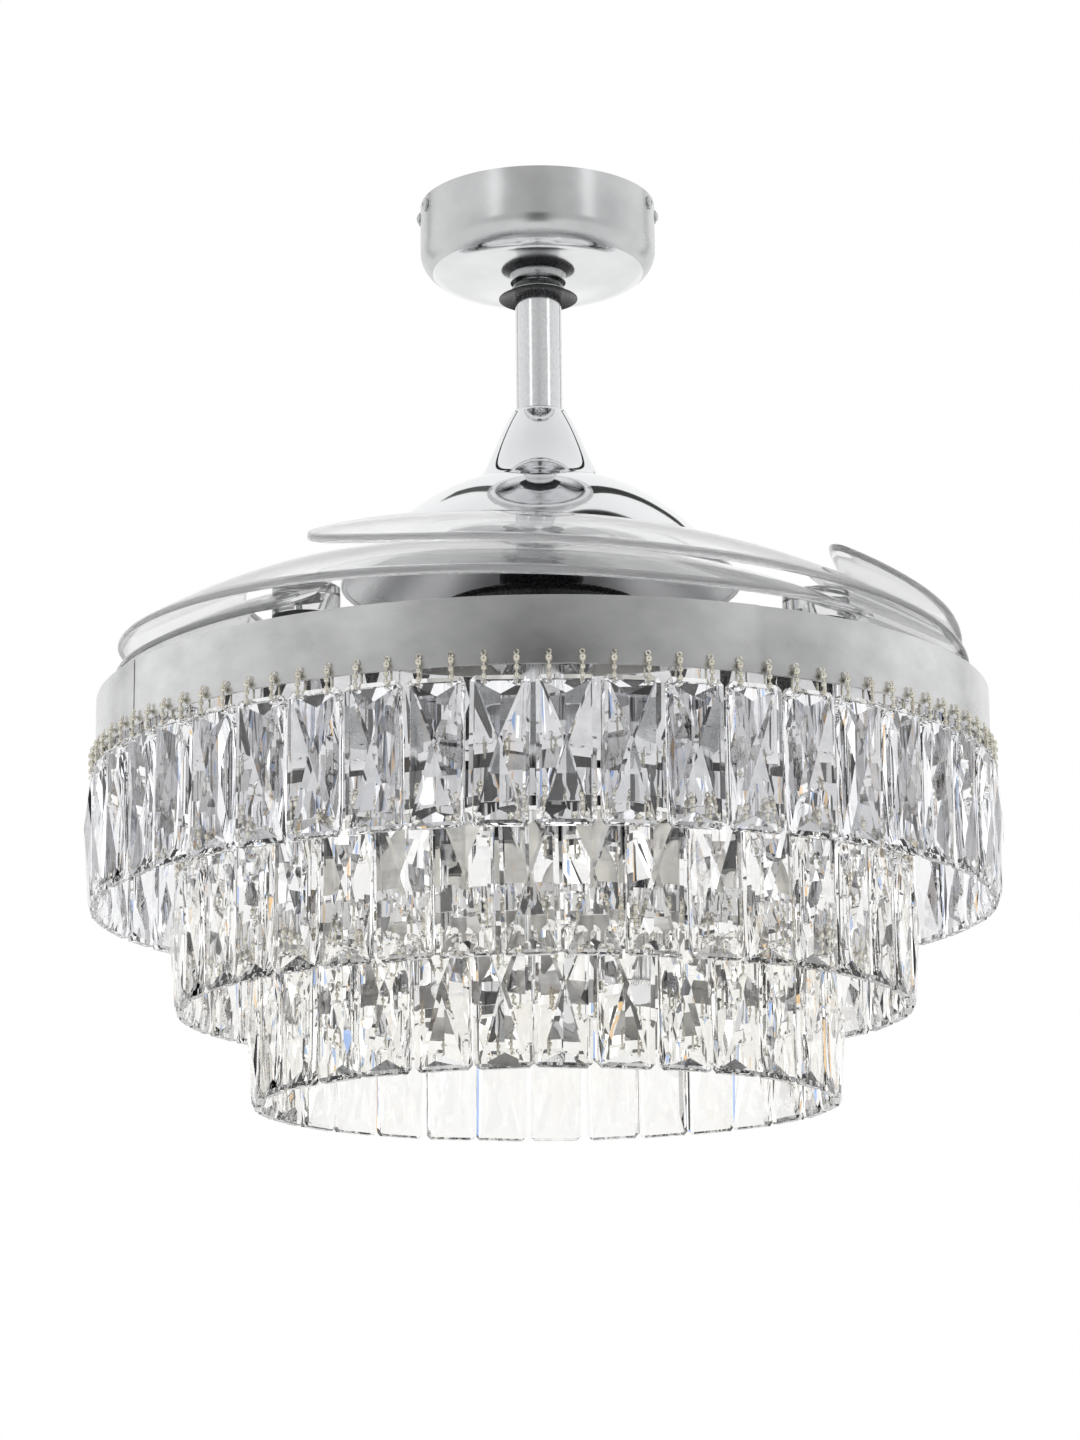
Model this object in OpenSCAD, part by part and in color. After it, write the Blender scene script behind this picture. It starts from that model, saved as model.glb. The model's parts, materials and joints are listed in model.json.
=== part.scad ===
// Ceiling fan with four clear blades that fold away over a crystal chandelier.
// The origin is the middle of the ceiling plane, Z points up and the fan hangs below it.
// At rest the fan stands still with its blades folded and nested in a ring.

/* [Ceiling canopy] */
// Diameter of the canopy
canopy_d = 136; // [120:1:180]
// Height of the canopy
canopy_h = 46; // [46:1:70]
// Radius of the canopy's lower corner
canopy_corner = 16; // [6:1:20]
// How far the canopy's bottom bulges down
canopy_dish = 3; // [0:0.5:5]
// Diameter of the hole that the rod hangs through
canopy_hole_d = 32; // [32:1:44]
// Distance between the two ceiling screws
ceiling_screw_spacing = 88.9; // [80:0.1:92]
// Diameter of the holes for the ceiling screws
ceiling_hole_d = 5.4; // [4:0.1:6]

/* [Hanging rod] */
// Length of the rod
rod_len = 143; // [110:1:900]
// Outer diameter of the rod
rod_d = 26.7; // [24:0.1:28]
// Wall of the rod
rod_wall = 2; // [1.5:0.1:3]
// Diameter of the ball that the rod hangs by
ball_d = 42; // [38:1:44]
// Depth of the ball's centre below the ceiling
ball_drop = 24; // [24:0.5:25]
// Diameter of the black collar under the canopy
collar_d = 45.5; // [43:0.5:52]

/* [Covers] */
// Wall of the canopy, the bell cover and the dome
cover_wall = 1.2; // [0.8:0.1:1.6]
// Height of the bell cover
bell_h = 44.8; // [40:0.2:60]
// Diameter of the top of the bell cover
bell_top_d = 32.4; // [31:0.2:36]
// Diameter of the foot of the bell cover
bell_base_d = 76.8; // [70:0.2:90]
// Diameter of the dome's rim
dome_d = 227; // [200:1:280]
// Height of the dome
dome_h = 58; // [50:1:75]

/* [Motor] */
// Diameter of the motor casing
motor_d = 120; // [110:1:150]
// Height of the motor casing
motor_h = 57.5; // [52:0.5:80]
// Diameter of the fixed motor shaft
shaft_d = 17; // [15:0.5:19]
// Bore of the shaft for its wires
shaft_bore_d = 10; // [6:0.5:11]
// Outer diameter of the two ball bearings
bearing_d = 40; // [38:1:42]
// Height of a ball bearing
bearing_h = 12; // [10:0.5:13]

/* [Blades] */
// Thickness of a blade
blade_thickness = 3.4; // [2.4:0.1:4.5]
// Width of a blade
blade_w = 75; // [60:1:90]
// Length of a folded blade, in degrees round the fan
blade_arc = 182; // [165:1:188]
// Distance from the ring's outer face in to the folded blades' outer edge
blade_inset = 10; // [6:1:20]
// Slope of a blade across its width, in degrees
blade_lean = 26; // [18:1:30]
// Rise of a folded blade per degree round the fan
blade_rise = 0.17; // [0.14:0.01:0.25]
// Extra rise of the blade's tip
tip_lift = 1; // [0:1:10]
// Angle that a blade swings open by
open_angle = 110; // [90:5:115]

/* [Blade gears] */
// Module of the gears that open the blades together
gear_module = 2; // [1.5:0.5:2]
// Number of teeth on a whole blade pinion
pinion_teeth = 24; // [22:1:26]
// Thickness of the gears
gear_thickness = 5; // [4:0.5:5.5]
// Diameter of the posts that the blades turn on
post_d = 10; // [8:0.5:12]

/* [Light] */
// Diameter of the metal ring
ring_d = 500; // [410:5:620]
// Height of the metal ring
ring_h = 35.6; // [24:0.2:60]
// Wall of the metal ring and the tier rings
ring_wall = 1.2; // [1:0.1:1.6]
// Diameter of the centre column
column_d = 24; // [22:1:30]
// Number of lamps
lamp_count = 6; // [3:3:6]
// Radius of the circle that the lamps stand on
lamp_circle_r = 55; // [50:1:70]

/* [Crystals] */
// Width of a crystal
crystal_w = 30; // [22:1:40]
// Height of a crystal
crystal_h = 76; // [50:1:95]
// Thickness of a crystal at its edges
crystal_edge = 4; // [3:0.5:5]
// Thickness of a crystal at its raised middle
crystal_depth = 13; // [8:1:18]
// Smallest gap between two crystals
crystal_gap = 2.1; // [1:0.1:6]
// Distance that the second tier is set in from the first
tier_2_inset = 48.2; // [30:0.2:60]
// Distance that the third tier is set in from the second
tier_3_inset = 42.4; // [30:0.2:60]
// Distance that the second tier hangs below the first
tier_2_drop = 56.6; // [40:0.2:90]
// Distance that the third tier hangs below the second
tier_3_drop = 51.3; // [40:0.2:90]

/* [Hidden] */
$fn = 96;

// Clearances
running = 0.05;        // shaft in its bore, on the radius
loose = 0.3;           // pieces that pass each other
seat = 0.1;            // pieces that are screwed or hung together
cut = 1;               // how far a cut runs past its face
screw_r = 1.5;
screw_clear = 0.15;

// Finish colours, as red, green and blue
chrome = [0.80, 0.81, 0.82];
steel = [0.66, 0.67, 0.68];
black = [0.07, 0.07, 0.08];
clear = [0.88, 0.93, 0.95, 0.35];
copper = [0.72, 0.40, 0.22];
nylon = [0.86, 0.85, 0.80];

// Heights along the fan's axis, from the ceiling down
bracket_t = 2;
ball_z = -ball_drop;
rod_top = ball_z + 9;
rod_end = rod_top - rod_len;
collar_gap = 1.5;
collar_h = 8.7;
collar_top = -canopy_h - collar_gap;
yoke_grip = 23;
yoke_r = rod_d / 2 + 3.6;
yoke_top = rod_end + yoke_grip;
yoke_floor_t = 17;
yoke_foot = rod_end - 38;
bell_top = rod_end + 33.3;
bell_base = bell_top - bell_h;
dome_rim = bell_base - dome_h;
dome_plate_t = 2;
dome_plate_top = yoke_foot;
dome_seat_r = bell_base_d / 2;
shaft_nut_h = 8;
shaft_nut_top = dome_plate_top - dome_plate_t;
neck_top = shaft_nut_top - shaft_nut_h - 7;
neck_h = 27;
motor_top_z = neck_top - neck_h;
motor_base_z = motor_top_z - motor_h;
carrier_t = 3;
carrier_top = motor_base_z;
carrier_base = carrier_top - carrier_t;
pan_gap = 3;
pan_t = 1.2;
pan_top = carrier_base - pan_gap;
pan_base = pan_top - pan_t;
pan_rim_h = 3.3;
ring_top = pan_top + pan_rim_h + ring_wall;
ring_base = ring_top - ring_h;
flange_h = 8;
flange_base = pan_base - flange_h;
flange_nut_h = 10;
flange_nut_base = flange_base - flange_nut_h;
column_socket = 12;
shaft_top = rod_end - 2;
shaft_end = flange_nut_base - column_socket + 2;

// Motor
motor_r = motor_d / 2;
motor_wall = 2;
shaft_r = shaft_d / 2;
bearing_r = bearing_d / 2;
neck_r = bearing_r + 3.5;
seam_z = (motor_top_z + motor_base_z) / 2;
casing_flange_w = 6;
upper_bearing_z = motor_top_z + 2;
lower_bearing_z = motor_base_z + motor_wall;
pole_count = 12;
magnet_count = 16;
stator_h = 26;
stator_r = motor_r - 13;
magnet_t = 7;
magnet_share = 0.84;            // of each pitch round the casing

// Blades and gears
blade_count = 4;
root_angle = -34.3;             // where the first blade's root end lies
ring_r = ring_d / 2;
blade_outer_r = ring_r - blade_inset;
blade_mid_r = blade_outer_r - blade_w / 2;
pivot_inset = 48;
pivot_s = 6;                    // degrees from the root end to the pivot
sun_teeth = 4 * round((2 * (blade_outer_r - pivot_inset) / gear_module - pinion_teeth) / 4);
pivot_r = gear_module * (pinion_teeth + sun_teeth) / 2;
pinion_r = gear_module * pinion_teeth / 2;
sun_r = gear_module * sun_teeth / 2;
gear_backlash = 0.12;
gear_base = carrier_top + loose;
gear_top = gear_base + gear_thickness;
sync_turn = open_angle * pinion_teeth / sun_teeth;
sun_bore_r = sun_r - 16;
guide_w = 8.7;
guide_top = gear_top + 0.5;
blade_edge_z = carrier_top + 3.55;       // outer edge of a blade at its root
boss_r = 18;
boss_z = carrier_top + 14.5;             // where a blade sits on its hub
post_r = post_d / 2;
post_top = boss_z - 2.9;
spring_room_r = 10;
spring_room_top = gear_base + 7.2;
root_bar = 5;                            // extra thickness at the blade's root
root_bar_arc = 36;
stop_r = 32;                             // from the pivot to a bumper
stop_lug_w = 8;
bumper_r = 4;
bumper_top = carrier_top + 9.5;
lug_angle = -70;                         // where the stop lug points when folded
stop_spread = asin((stop_lug_w / 2 + bumper_r + seat) / stop_r);
arm_w = 30;
arm_end_r = 38;
blade_screw_r = 14;
blade_screw_angles = [30, 150, 270];

// Light and crystals
column_r = column_d / 2;
spoke_w = 12;
spoke_t = 2;
tier_strip_h = 14;
tier_1_r = ring_r - ring_wall / 2;
tier_2_r = tier_1_r - tier_2_inset;
tier_3_r = tier_2_r - tier_3_inset;
tier_2_base = ring_base - tier_2_drop;
tier_3_base = tier_2_base - tier_3_drop;
tier_1_turn = -1.1;                      // how far each tier is turned round the column
tier_2_turn = 2.3;
tier_3_turn = -2.2;
hook_rise = 3.5;                         // from a tier ring's lower edge up to its hook holes
hook_gap = 5.8;                          // from a tier ring's lower edge to the crystals
hole_drop = 3.2;                         // from a crystal's top to its holes
hook_hole_r = 1;
crystal_hole_r = 1.4;
hook_spacing = 16.4;
wire_r = 0.6;
hook_r = (hook_rise + hook_gap + hole_drop) / 2;
corner_cut = 2.5;
apex_drop = 0.44;                        // share of the crystal's height above its apex
collar_h_small = 8;
column_base = tier_3_base - 12;
lamp_plate_z = pan_base - 50;
lamp_holder_r = 12;
lamp_holder_h = 30;
bulb_r = 16;
bulb_h = 66;

// Number of crystals that fit round a circle
function tier_count(r) = floor(2 * PI * r / (crystal_w + crystal_gap));

// Angle of crystal number i of a tier
function crystal_angle(i, count, turn) = (i + 0.5) * 360 / count - 90 + turn;

// Points of an arc
function arc(cx, cy, r, a0, a1, steps) =
  [for (i = [0 : steps]) let (a = a0 + (a1 - a0) * i / steps) [cx + r * cos(a), cy + r * sin(a)]];

// Points of a cubic curve through four control points
function curve(a, b, c, d, steps) =
  [for (i = [0 : steps]) let (t = i / steps, u = 1 - t)
    u * u * u * a + 3 * u * u * t * b + 3 * u * t * t * c + t * t * t * d];

function backwards(list) = [for (i = [len(list) - 1 : -1 : 0]) list[i]];
function moved(list, step) = [for (p = list) p + step];
function turned(p, a) = [p.x * cos(a) - p.y * sin(a), p.x * sin(a) + p.y * cos(a)];

// Smooth step from 0 to 1
function eased(t) = let (u = min(1, max(0, t))) u * u * (3 - 2 * u);

// A disc, and a ring, between two heights
module disc(r, low, high) {
  translate([0, 0, low])
    cylinder(r = r, h = high - low);
}

module hoop(r_in, r_out, low, high) {
  difference() {
    disc(r_out, low, high);
    disc(r_in, low - cut, high + cut);
  }
}

// A pan-head screw that points down, its head's seat at the origin
module screw(r, len, head_r, head_h) {
  union() {
    cylinder(r = head_r, h = head_h, $fn = 32);
    translate([0, 0, -len])
      cylinder(r = r, h = len + head_h / 2, $fn = 32);
  }
}

module hex_nut(r, low, high, bore_r) {
  difference() {
    translate([0, 0, low])
      cylinder(r = r, h = high - low, $fn = 6);
    disc(bore_r, low - cut, high + cut);
  }
}

// ---- Ceiling bracket and canopy -------------------------------------------

canopy_r = canopy_d / 2;
tab_r = canopy_r - cover_wall - seat;
tab_t = 2;
tab_h = 14;
canopy_screw_z = -6;
canopy_screw_angles = [-20, 0, 180, 200];
tab_starts = [-26, 174];
tab_arc = 32;
leg_x = ball_d / 2 + 8;
leg_w = 26;
cup_r = ball_d / 2 + 5;
cup_base = ball_z - 19;
cup_top = ball_z - 6;
cup_hole_r = rod_d / 2 + 3;
key_w = 4;
key_h = 8;
groove_in = 17;                 // from the rod's axis to the bottom of the ball's groove

module hanger_bracket() {
  key_in = groove_in + 1.3;
  color(steel) {
    // Key that keeps the ball from turning
    translate([-key_w / 2, -cup_r + 2, cup_top - key_h - 1])
      cube([key_w, cup_r - 2 - key_in, key_h]);
    difference() {
      union() {
        // Ceiling plate, cut from a disc
        intersection() {
          disc(tab_r - seat, -bracket_t, 0);
          translate([-canopy_r, -leg_w - 4, -bracket_t])
            cube([canopy_d, 2 * leg_w + 8, bracket_t]);
        }
        // Curved tabs that the canopy screws go into
        for (start = tab_starts)
          rotate([0, 0, start])
            rotate_extrude(angle = tab_arc)
              translate([tab_r - tab_t, -tab_h])
                square([tab_t, tab_h]);
        // Legs down to the cup
        for (side = [-1, 1])
          translate([side * leg_x - tab_t / 2, -leg_w / 2, cup_base])
            cube([tab_t, leg_w, -cup_base]);
        translate([-leg_x, -leg_w / 2, cup_base])
          cube([2 * leg_x, leg_w, 3]);
        disc(cup_r, cup_base, cup_top);
      }
      // Seat of the ball, the rod's hole and the slot that the rod enters by
      translate([0, 0, ball_z])
        sphere(r = ball_d / 2 + seat);
      disc(cup_hole_r, cup_base - cut, ball_z);
      translate([-cup_hole_r, 0, cup_base - cut])
        cube([2 * cup_hole_r, cup_r + 2 * cut, cup_top - cup_base + 2 * cut]);
      for (side = [-1, 1])
        translate([side * ceiling_screw_spacing / 2, 0, -bracket_t - cut])
          cylinder(d = ceiling_hole_d, h = bracket_t + 2 * cut);
      // Wire hole beside the middle
      translate([0, 20, -bracket_t - cut])
        cylinder(r = 6, h = bracket_t + 2 * cut);
      canopy_screw_holes(screw_r);
    }
  }
}

module canopy_screw_holes(r) {
  for (a = canopy_screw_angles)
    rotate([0, 0, a])
      translate([tab_r - tab_t - cut, 0, canopy_screw_z])
        rotate([0, 90, 0])
          cylinder(r = r, h = tab_t + cover_wall + 3 * cut, $fn = 32);
}

module canopy() {
  flat_r = canopy_r - canopy_corner;
  flat_z = canopy_dish - canopy_h;
  corner_z = flat_z + canopy_corner;
  hole_r = canopy_hole_d / 2;
  bottom = curve([flat_r, flat_z], [flat_r - 12, flat_z], [hole_r + 12, -canopy_h],
    [hole_r, -canopy_h], 10);
  color(chrome)
    difference() {
      rotate_extrude()
        polygon(concat(
          [[canopy_r, 0]],
          arc(flat_r, corner_z, canopy_corner, 0, -90, 10),
          bottom,
          backwards(moved(bottom, [0, cover_wall])),
          arc(flat_r, corner_z, canopy_corner - cover_wall, -90, 0, 10),
          [[canopy_r - cover_wall, 0]]));
      canopy_screw_holes(screw_r + screw_clear);
    }
}

module canopy_screws() {
  color(steel)
    for (a = canopy_screw_angles)
      rotate([0, 0, a])
        translate([canopy_r, 0, canopy_screw_z])
          rotate([0, 90, 0])
            screw(screw_r, 7, 3.4, 2.2);
}

module remote_receiver() {
  size = [52, 18, 20];
  flat_r = canopy_r - canopy_corner;
  back_y = sqrt(flat_r * flat_r - size.x * size.x / 4);
  color(nylon)
    translate([-size.x / 2, back_y - size.y, cover_wall + canopy_dish - canopy_h + seat])
      difference() {
        cube(size);
        // Cable slots in both ends
        for (x = [-cut, size.x - 4])
          translate([x, 6, 12])
            cube([4 + cut, 6, 3]);
      }
}

// ---- Hanging rod ----------------------------------------------------------

ball_pin_r = 3;
ball_pin_z = ball_z + 4;
yoke_pin_z = yoke_top - 9;

module hanger_ball() {
  color(nylon)
    difference() {
      intersection() {
        translate([0, 0, ball_z])
          sphere(r = ball_d / 2);
        disc(ball_d, ball_z - ball_d, ball_z + 9);
      }
      disc(rod_d / 2 + running, ball_z - ball_d, ball_z + ball_d);
      translate([-ball_d, 0, ball_pin_z])
        rotate([0, 90, 0])
          cylinder(r = ball_pin_r + running, h = 2 * ball_d, $fn = 48);
      // Groove for the cup's key
      translate([-key_w / 2 - loose, -ball_d, ball_z - ball_d])
        cube([key_w + 2 * loose, ball_d - groove_in, 2 * ball_d]);
    }
}

module ball_pin() {
  color(steel)
    translate([-ball_d / 2 + 3, 0, ball_pin_z])
      rotate([0, 90, 0])
        cylinder(r = ball_pin_r, h = ball_d - 6, $fn = 48);
}

module downrod() {
  color(steel)
    difference() {
      hoop(rod_d / 2 - rod_wall, rod_d / 2, rod_end, rod_top);
      for (z = [ball_pin_z, yoke_pin_z])
        translate([-rod_d, 0, z])
          rotate([0, 90, 0])
            cylinder(r = ball_pin_r + running, h = 2 * rod_d, $fn = 48);
    }
}

// A cup that opens downwards, under a cone
module rod_collar() {
  r_in = rod_d / 2 + seat;
  r_out = collar_d / 2;
  base = collar_top - collar_h;
  color(black)
    rotate_extrude()
      polygon([[r_in, base + 3], [r_in + 2, base + 2.8], [r_out - 0.8, base],
        [r_out, base + 0.4], [r_out, base + 1.2], [r_in + 3.6, base + 4],
        [r_in + 1, collar_top], [r_in, collar_top]]);
}

module rod_yoke() {
  foot_r = 14;
  color(steel)
    difference() {
      union() {
        disc(yoke_r, rod_end - yoke_floor_t, yoke_top);
        disc(yoke_r + 5, rod_end - yoke_floor_t, rod_end - yoke_floor_t + 4);
        disc(foot_r, yoke_foot, rod_end);
      }
      disc(rod_d / 2 + running, rod_end, yoke_top + cut);
      disc(shaft_r, yoke_foot - cut, rod_end + cut);
      translate([-yoke_r - cut, 0, yoke_pin_z])
        rotate([0, 90, 0])
          cylinder(r = ball_pin_r + running, h = 2 * (yoke_r + cut), $fn = 48);
    }
}

module yoke_pin() {
  reach = yoke_r + 1.5;
  color(steel)
    translate([-reach, 0, yoke_pin_z])
      rotate([0, 90, 0])
        difference() {
          union() {
            cylinder(r = ball_pin_r, h = 2 * reach, $fn = 48);
            cylinder(r = ball_pin_r + 1.6, h = 1.4, $fn = 48);
          }
          // Hole for the split pin
          translate([0, ball_pin_r + cut, 2 * reach - 0.8])
            rotate([90, 0, 0])
              cylinder(r = 0.5, h = 2 * (ball_pin_r + cut), $fn = 24);
        }
}

// ---- Spun covers ----------------------------------------------------------

module bell_cover() {
  top = [bell_top_d / 2, bell_top - 1.2];
  foot = [bell_base_d / 2, bell_base];
  side = curve(top, top + [9.8, -17.5], foot + [-9.4, 10.5], foot, 14);
  bore = rod_d / 2 + seat;
  color(chrome)
    rotate_extrude()
      polygon(concat([[bore, bell_top]], arc(top.x - 1.2, top.y, 1.2, 90, 0, 4), side,
        backwards(moved(side, [-cover_wall, 0])), [[bore, bell_top - 2.4]]));
}

dome_curve = curve([dome_seat_r, bell_base], [dome_seat_r + 25.6, bell_base - 5.5],
  [dome_d / 2 - 25.5, dome_rim + 31.6], [dome_d / 2, dome_rim], 20);
dome_screw_step = 11;           // which stretch of the dome's curve the screws are in
dome_screw_at = (dome_curve[dome_screw_step] + dome_curve[dome_screw_step + 1]) / 2;
dome_screw_run = dome_curve[dome_screw_step + 1] - dome_curve[dome_screw_step];
dome_screw_lean = atan2(-dome_screw_run.y, dome_screw_run.x);
dome_hole_r = 30;

// Places its children on the dome's slope at the two screws, pointing outwards
module at_dome_screws() {
  for (a = [0, 180])
    rotate([0, 0, a])
      translate([dome_screw_at.x, 0, dome_screw_at.y])
        rotate([0, dome_screw_lean, 0])
          children();
}

module dome_cover() {
  step = [-0.7, -0.7] * cover_wall;
  rim_r = 1.4;
  color(chrome)
    difference() {
      union() {
        rotate_extrude()
          polygon(concat([[dome_hole_r, bell_base]], dome_curve,
            backwards(moved(dome_curve, step)), [[dome_hole_r, bell_base - cover_wall]]));
        // Rolled rim
        rotate_extrude()
          translate([dome_d / 2 - 0.9, dome_rim])
            circle(r = rim_r, $fn = 24);
      }
      at_dome_screws()
        translate([0, 0, -6])
          cylinder(r = screw_r + screw_clear, h = 12, $fn = 32);
    }
}

module dome_bracket() {
  boss_len = 10;
  color(steel)
    difference() {
      union() {
        disc(24, dome_plate_top - dome_plate_t, dome_plate_top);
        translate([-dome_screw_at.x, -7, dome_plate_top - dome_plate_t])
          cube([2 * dome_screw_at.x, 14, dome_plate_t]);
        // Bosses that the dome is screwed to
        intersection() {
          at_dome_screws()
            translate([0, 0, -boss_len - cover_wall - loose])
              cylinder(r = 4.5, h = boss_len, $fn = 48);
          disc(dome_d, dome_plate_top - dome_plate_t, dome_plate_top + boss_len);
        }
      }
      disc(shaft_r + seat, dome_plate_top - dome_plate_t - cut, dome_plate_top + cut);
      at_dome_screws()
        translate([0, 0, -8])
          cylinder(r = screw_r, h = 12, $fn = 32);
    }
}

module dome_screws() {
  color(chrome)
    at_dome_screws()
      translate([0, 0, 0.25])
        screw(screw_r, 7, 3.2, 2.4);
}

// ---- Motor ----------------------------------------------------------------

module shaft_nut() {
  color(steel)
    hex_nut(15, shaft_nut_top - shaft_nut_h, shaft_nut_top, shaft_r);
}

module motor_shaft() {
  color(steel)
    hoop(shaft_bore_d / 2, shaft_r, shaft_end, shaft_top);
}

module stator_core() {
  low = seam_z - stator_h / 2;
  tooth_w = 5;
  shoe_t = 4;
  color(steel)
    difference() {
      union() {
        hoop(shaft_r, shaft_r + 10, low, low + stator_h);
        for (i = [0 : pole_count - 1])
          rotate([0, 0, i * 360 / pole_count]) {
            translate([shaft_r + 9, -tooth_w / 2, low])
              cube([stator_r - shaft_r - 11, tooth_w, stator_h]);
            rotate([0, 0, -11.5])
              translate([0, 0, low])
                rotate_extrude(angle = 23)
                  translate([stator_r - shoe_t, 0])
                    square([shoe_t, stator_h]);
          }
      }
      disc(shaft_r, low - cut, low + stator_h + cut);
    }
}

module stator_coils() {
  coil_in = shaft_r + 16;
  coil_len = stator_r - 5 - coil_in;
  coil_w = 11;
  coil_h = stator_h + 10;
  color(copper)
    for (i = [0 : pole_count - 1])
      rotate([0, 0, i * 360 / pole_count])
        difference() {
          translate([coil_in, -coil_w / 2, seam_z - coil_h / 2])
            cube([coil_len, coil_w, coil_h]);
          translate([coil_in - cut, -3, seam_z - stator_h / 2 - 0.5])
            cube([coil_len + 2 * cut, 6, stator_h + 1]);
        }
}

// A ball bearing: two races and their balls
module ball_bearing(low) {
  mid_r = (shaft_r + bearing_r) / 2;
  gap = 2.05;
  color(steel) {
    hoop(shaft_r, mid_r - gap, low, low + bearing_h);
    hoop(mid_r + gap, bearing_r, low, low + bearing_h);
    for (i = [0 : 8])
      rotate([0, 0, i * 40])
        translate([mid_r, 0, low + bearing_h / 2])
          sphere(r = gap - running, $fn = 32);
  }
}

module upper_bearing() {
  ball_bearing(upper_bearing_z);
}

module lower_bearing() {
  ball_bearing(lower_bearing_z);
}

module casing_screw_holes() {
  for (i = [0 : 5])
    rotate([0, 0, 30 + i * 60])
      translate([motor_r + casing_flange_w / 2 - 0.2, 0, seam_z - 5])
        cylinder(r = screw_r, h = 10, $fn = 32);
}

module motor_top() {
  shoulder_z = upper_bearing_z + bearing_h;
  round_r = 5;
  color(black)
    difference() {
      rotate_extrude()
        polygon(concat(
          [[shaft_r + 3.5, neck_top], [neck_r - 2, neck_top]],
          arc(neck_r - 2, neck_top - 2, 2, 90, 0, 4),
          [[neck_r, motor_top_z]],
          arc(motor_r - round_r, motor_top_z - round_r, round_r, 90, 0, 6),
          [[motor_r, seam_z + 2], [motor_r + casing_flange_w, seam_z + 2],
           [motor_r + casing_flange_w, seam_z], [motor_r - motor_wall, seam_z]],
          arc(motor_r - round_r, motor_top_z - round_r, round_r - motor_wall, 0, 90, 6),
          [[bearing_r + running, motor_top_z - motor_wall],
           [bearing_r + running, shoulder_z + seat],
           [shaft_r + 3.5, shoulder_z + seat]]));
      casing_screw_holes();
    }
}

module motor_base() {
  pocket_top = lower_bearing_z + bearing_h;
  boss = bearing_r + 3;
  color(black)
    difference() {
      rotate_extrude()
        polygon([[shaft_r + 3.5, motor_base_z], [motor_r, motor_base_z],
          [motor_r, seam_z - 2], [motor_r + casing_flange_w, seam_z - 2],
          [motor_r + casing_flange_w, seam_z], [motor_r - motor_wall, seam_z],
          [motor_r - motor_wall, motor_base_z + motor_wall],
          [boss, motor_base_z + motor_wall], [boss, pocket_top],
          [bearing_r + running, pocket_top],
          [bearing_r + running, lower_bearing_z - seat],
          [shaft_r + 3.5, lower_bearing_z - seat]]);
      casing_screw_holes();
      carrier_screw_holes(screw_r);
    }
}

module rotor_magnets() {
  outer = motor_r - motor_wall - seat;
  color(steel)
    for (i = [0 : magnet_count - 1])
      rotate([0, 0, (i - magnet_share / 2) * 360 / magnet_count])
        translate([0, 0, seam_z - stator_h / 2])
          rotate_extrude(angle = magnet_share * 360 / magnet_count)
            translate([outer - magnet_t, 0])
              square([magnet_t, stator_h]);
}

module casing_screws() {
  color(steel)
    for (i = [0 : 5])
      rotate([0, 0, 30 + i * 60])
        translate([motor_r + casing_flange_w / 2 - 0.2, 0, seam_z + 2])
          screw(screw_r, 4, 2.6, 2);
}

// ---- Blade carrier --------------------------------------------------------

carrier_hub_r = motor_r + 2;
carrier_screw_r = 44;

// Angle of the pivot of blade number i, counted from 0
function pivot_angle(i) = root_angle - pivot_s + i * 360 / blade_count;

// Places its children at every pivot, with X pointing away from the fan's axis
module at_pivots() {
  for (i = [0 : blade_count - 1])
    at_pivot(i)
      children();
}

module at_pivot(i) {
  rotate([0, 0, pivot_angle(i)])
    translate([pivot_r, 0, 0])
      children();
}

// Places its children at the two bumpers of every pivot
module at_bumpers() {
  for (a = [lug_angle - stop_spread, lug_angle + open_angle + stop_spread])
    at_pivots()
      rotate([0, 0, a])
        translate([stop_r, 0, 0])
          children();
}

module carrier_screw_holes(r) {
  for (i = [0 : 5])
    rotate([0, 0, i * 60])
      translate([carrier_screw_r, 0, carrier_base - cut])
        cylinder(r = r, h = carrier_t + 5, $fn = 32);
}

module blade_carrier() {
  rim_out = sun_bore_r - loose;
  color(steel)
    difference() {
      union() {
        disc(carrier_hub_r, carrier_base, carrier_top);
        hoop(rim_out - guide_w - 4, rim_out, carrier_base, carrier_top);
        hoop(rim_out - guide_w, rim_out, carrier_base, guide_top);
        for (i = [0 : blade_count - 1])
          rotate([0, 0, pivot_angle(i)])
            translate([carrier_hub_r - 8, -arm_w / 2, carrier_base])
              cube([pivot_r - carrier_hub_r + 8, arm_w, carrier_t]);
        at_pivots()
          disc(arm_end_r, carrier_base, carrier_top);
      }
      disc(shaft_r + 8, carrier_base - cut, carrier_top + cut);
      carrier_screw_holes(screw_r + screw_clear);
      at_pivots()
        disc(post_r - 1, carrier_base - cut, carrier_top + cut);
      at_bumpers()
        disc(bumper_r / 2, carrier_base - cut, carrier_top + cut);
      at_retainers()
        disc(screw_r, carrier_base - cut, guide_top + cut);
    }
}

module carrier_screws() {
  color(steel)
    for (i = [0 : 5])
      rotate([0, 0, i * 60])
        translate([carrier_screw_r, 0, carrier_base])
          rotate([180, 0, 0])
            screw(screw_r, carrier_t + motor_wall, 3, 1.6);
}

module pivot_posts() {
  color(steel)
    at_pivots()
      difference() {
        union() {
          disc(post_r, carrier_top, post_top);
          disc(post_r - 1, carrier_base, carrier_top + cut);
        }
        disc(screw_r, post_top - 6, post_top + cut);
      }
}

module post_screws() {
  color(steel)
    at_pivots()
      translate([0, 0, post_top])
        screw(screw_r, 5, post_r + 2.5, 1.7);
}

module stop_bumpers() {
  color(black)
    at_bumpers()
      union() {
        disc(bumper_r, carrier_top, bumper_top);
        disc(bumper_r / 2, carrier_base, carrier_top + cut);
      }
}

// Places its children at the four retainers of the sync gear
module at_retainers() {
  for (i = [0 : 3])
    rotate([0, 0, pivot_angle(i) + 45])
      translate([sun_bore_r - loose - guide_w / 2, 0, 0])
        children();
}

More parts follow.
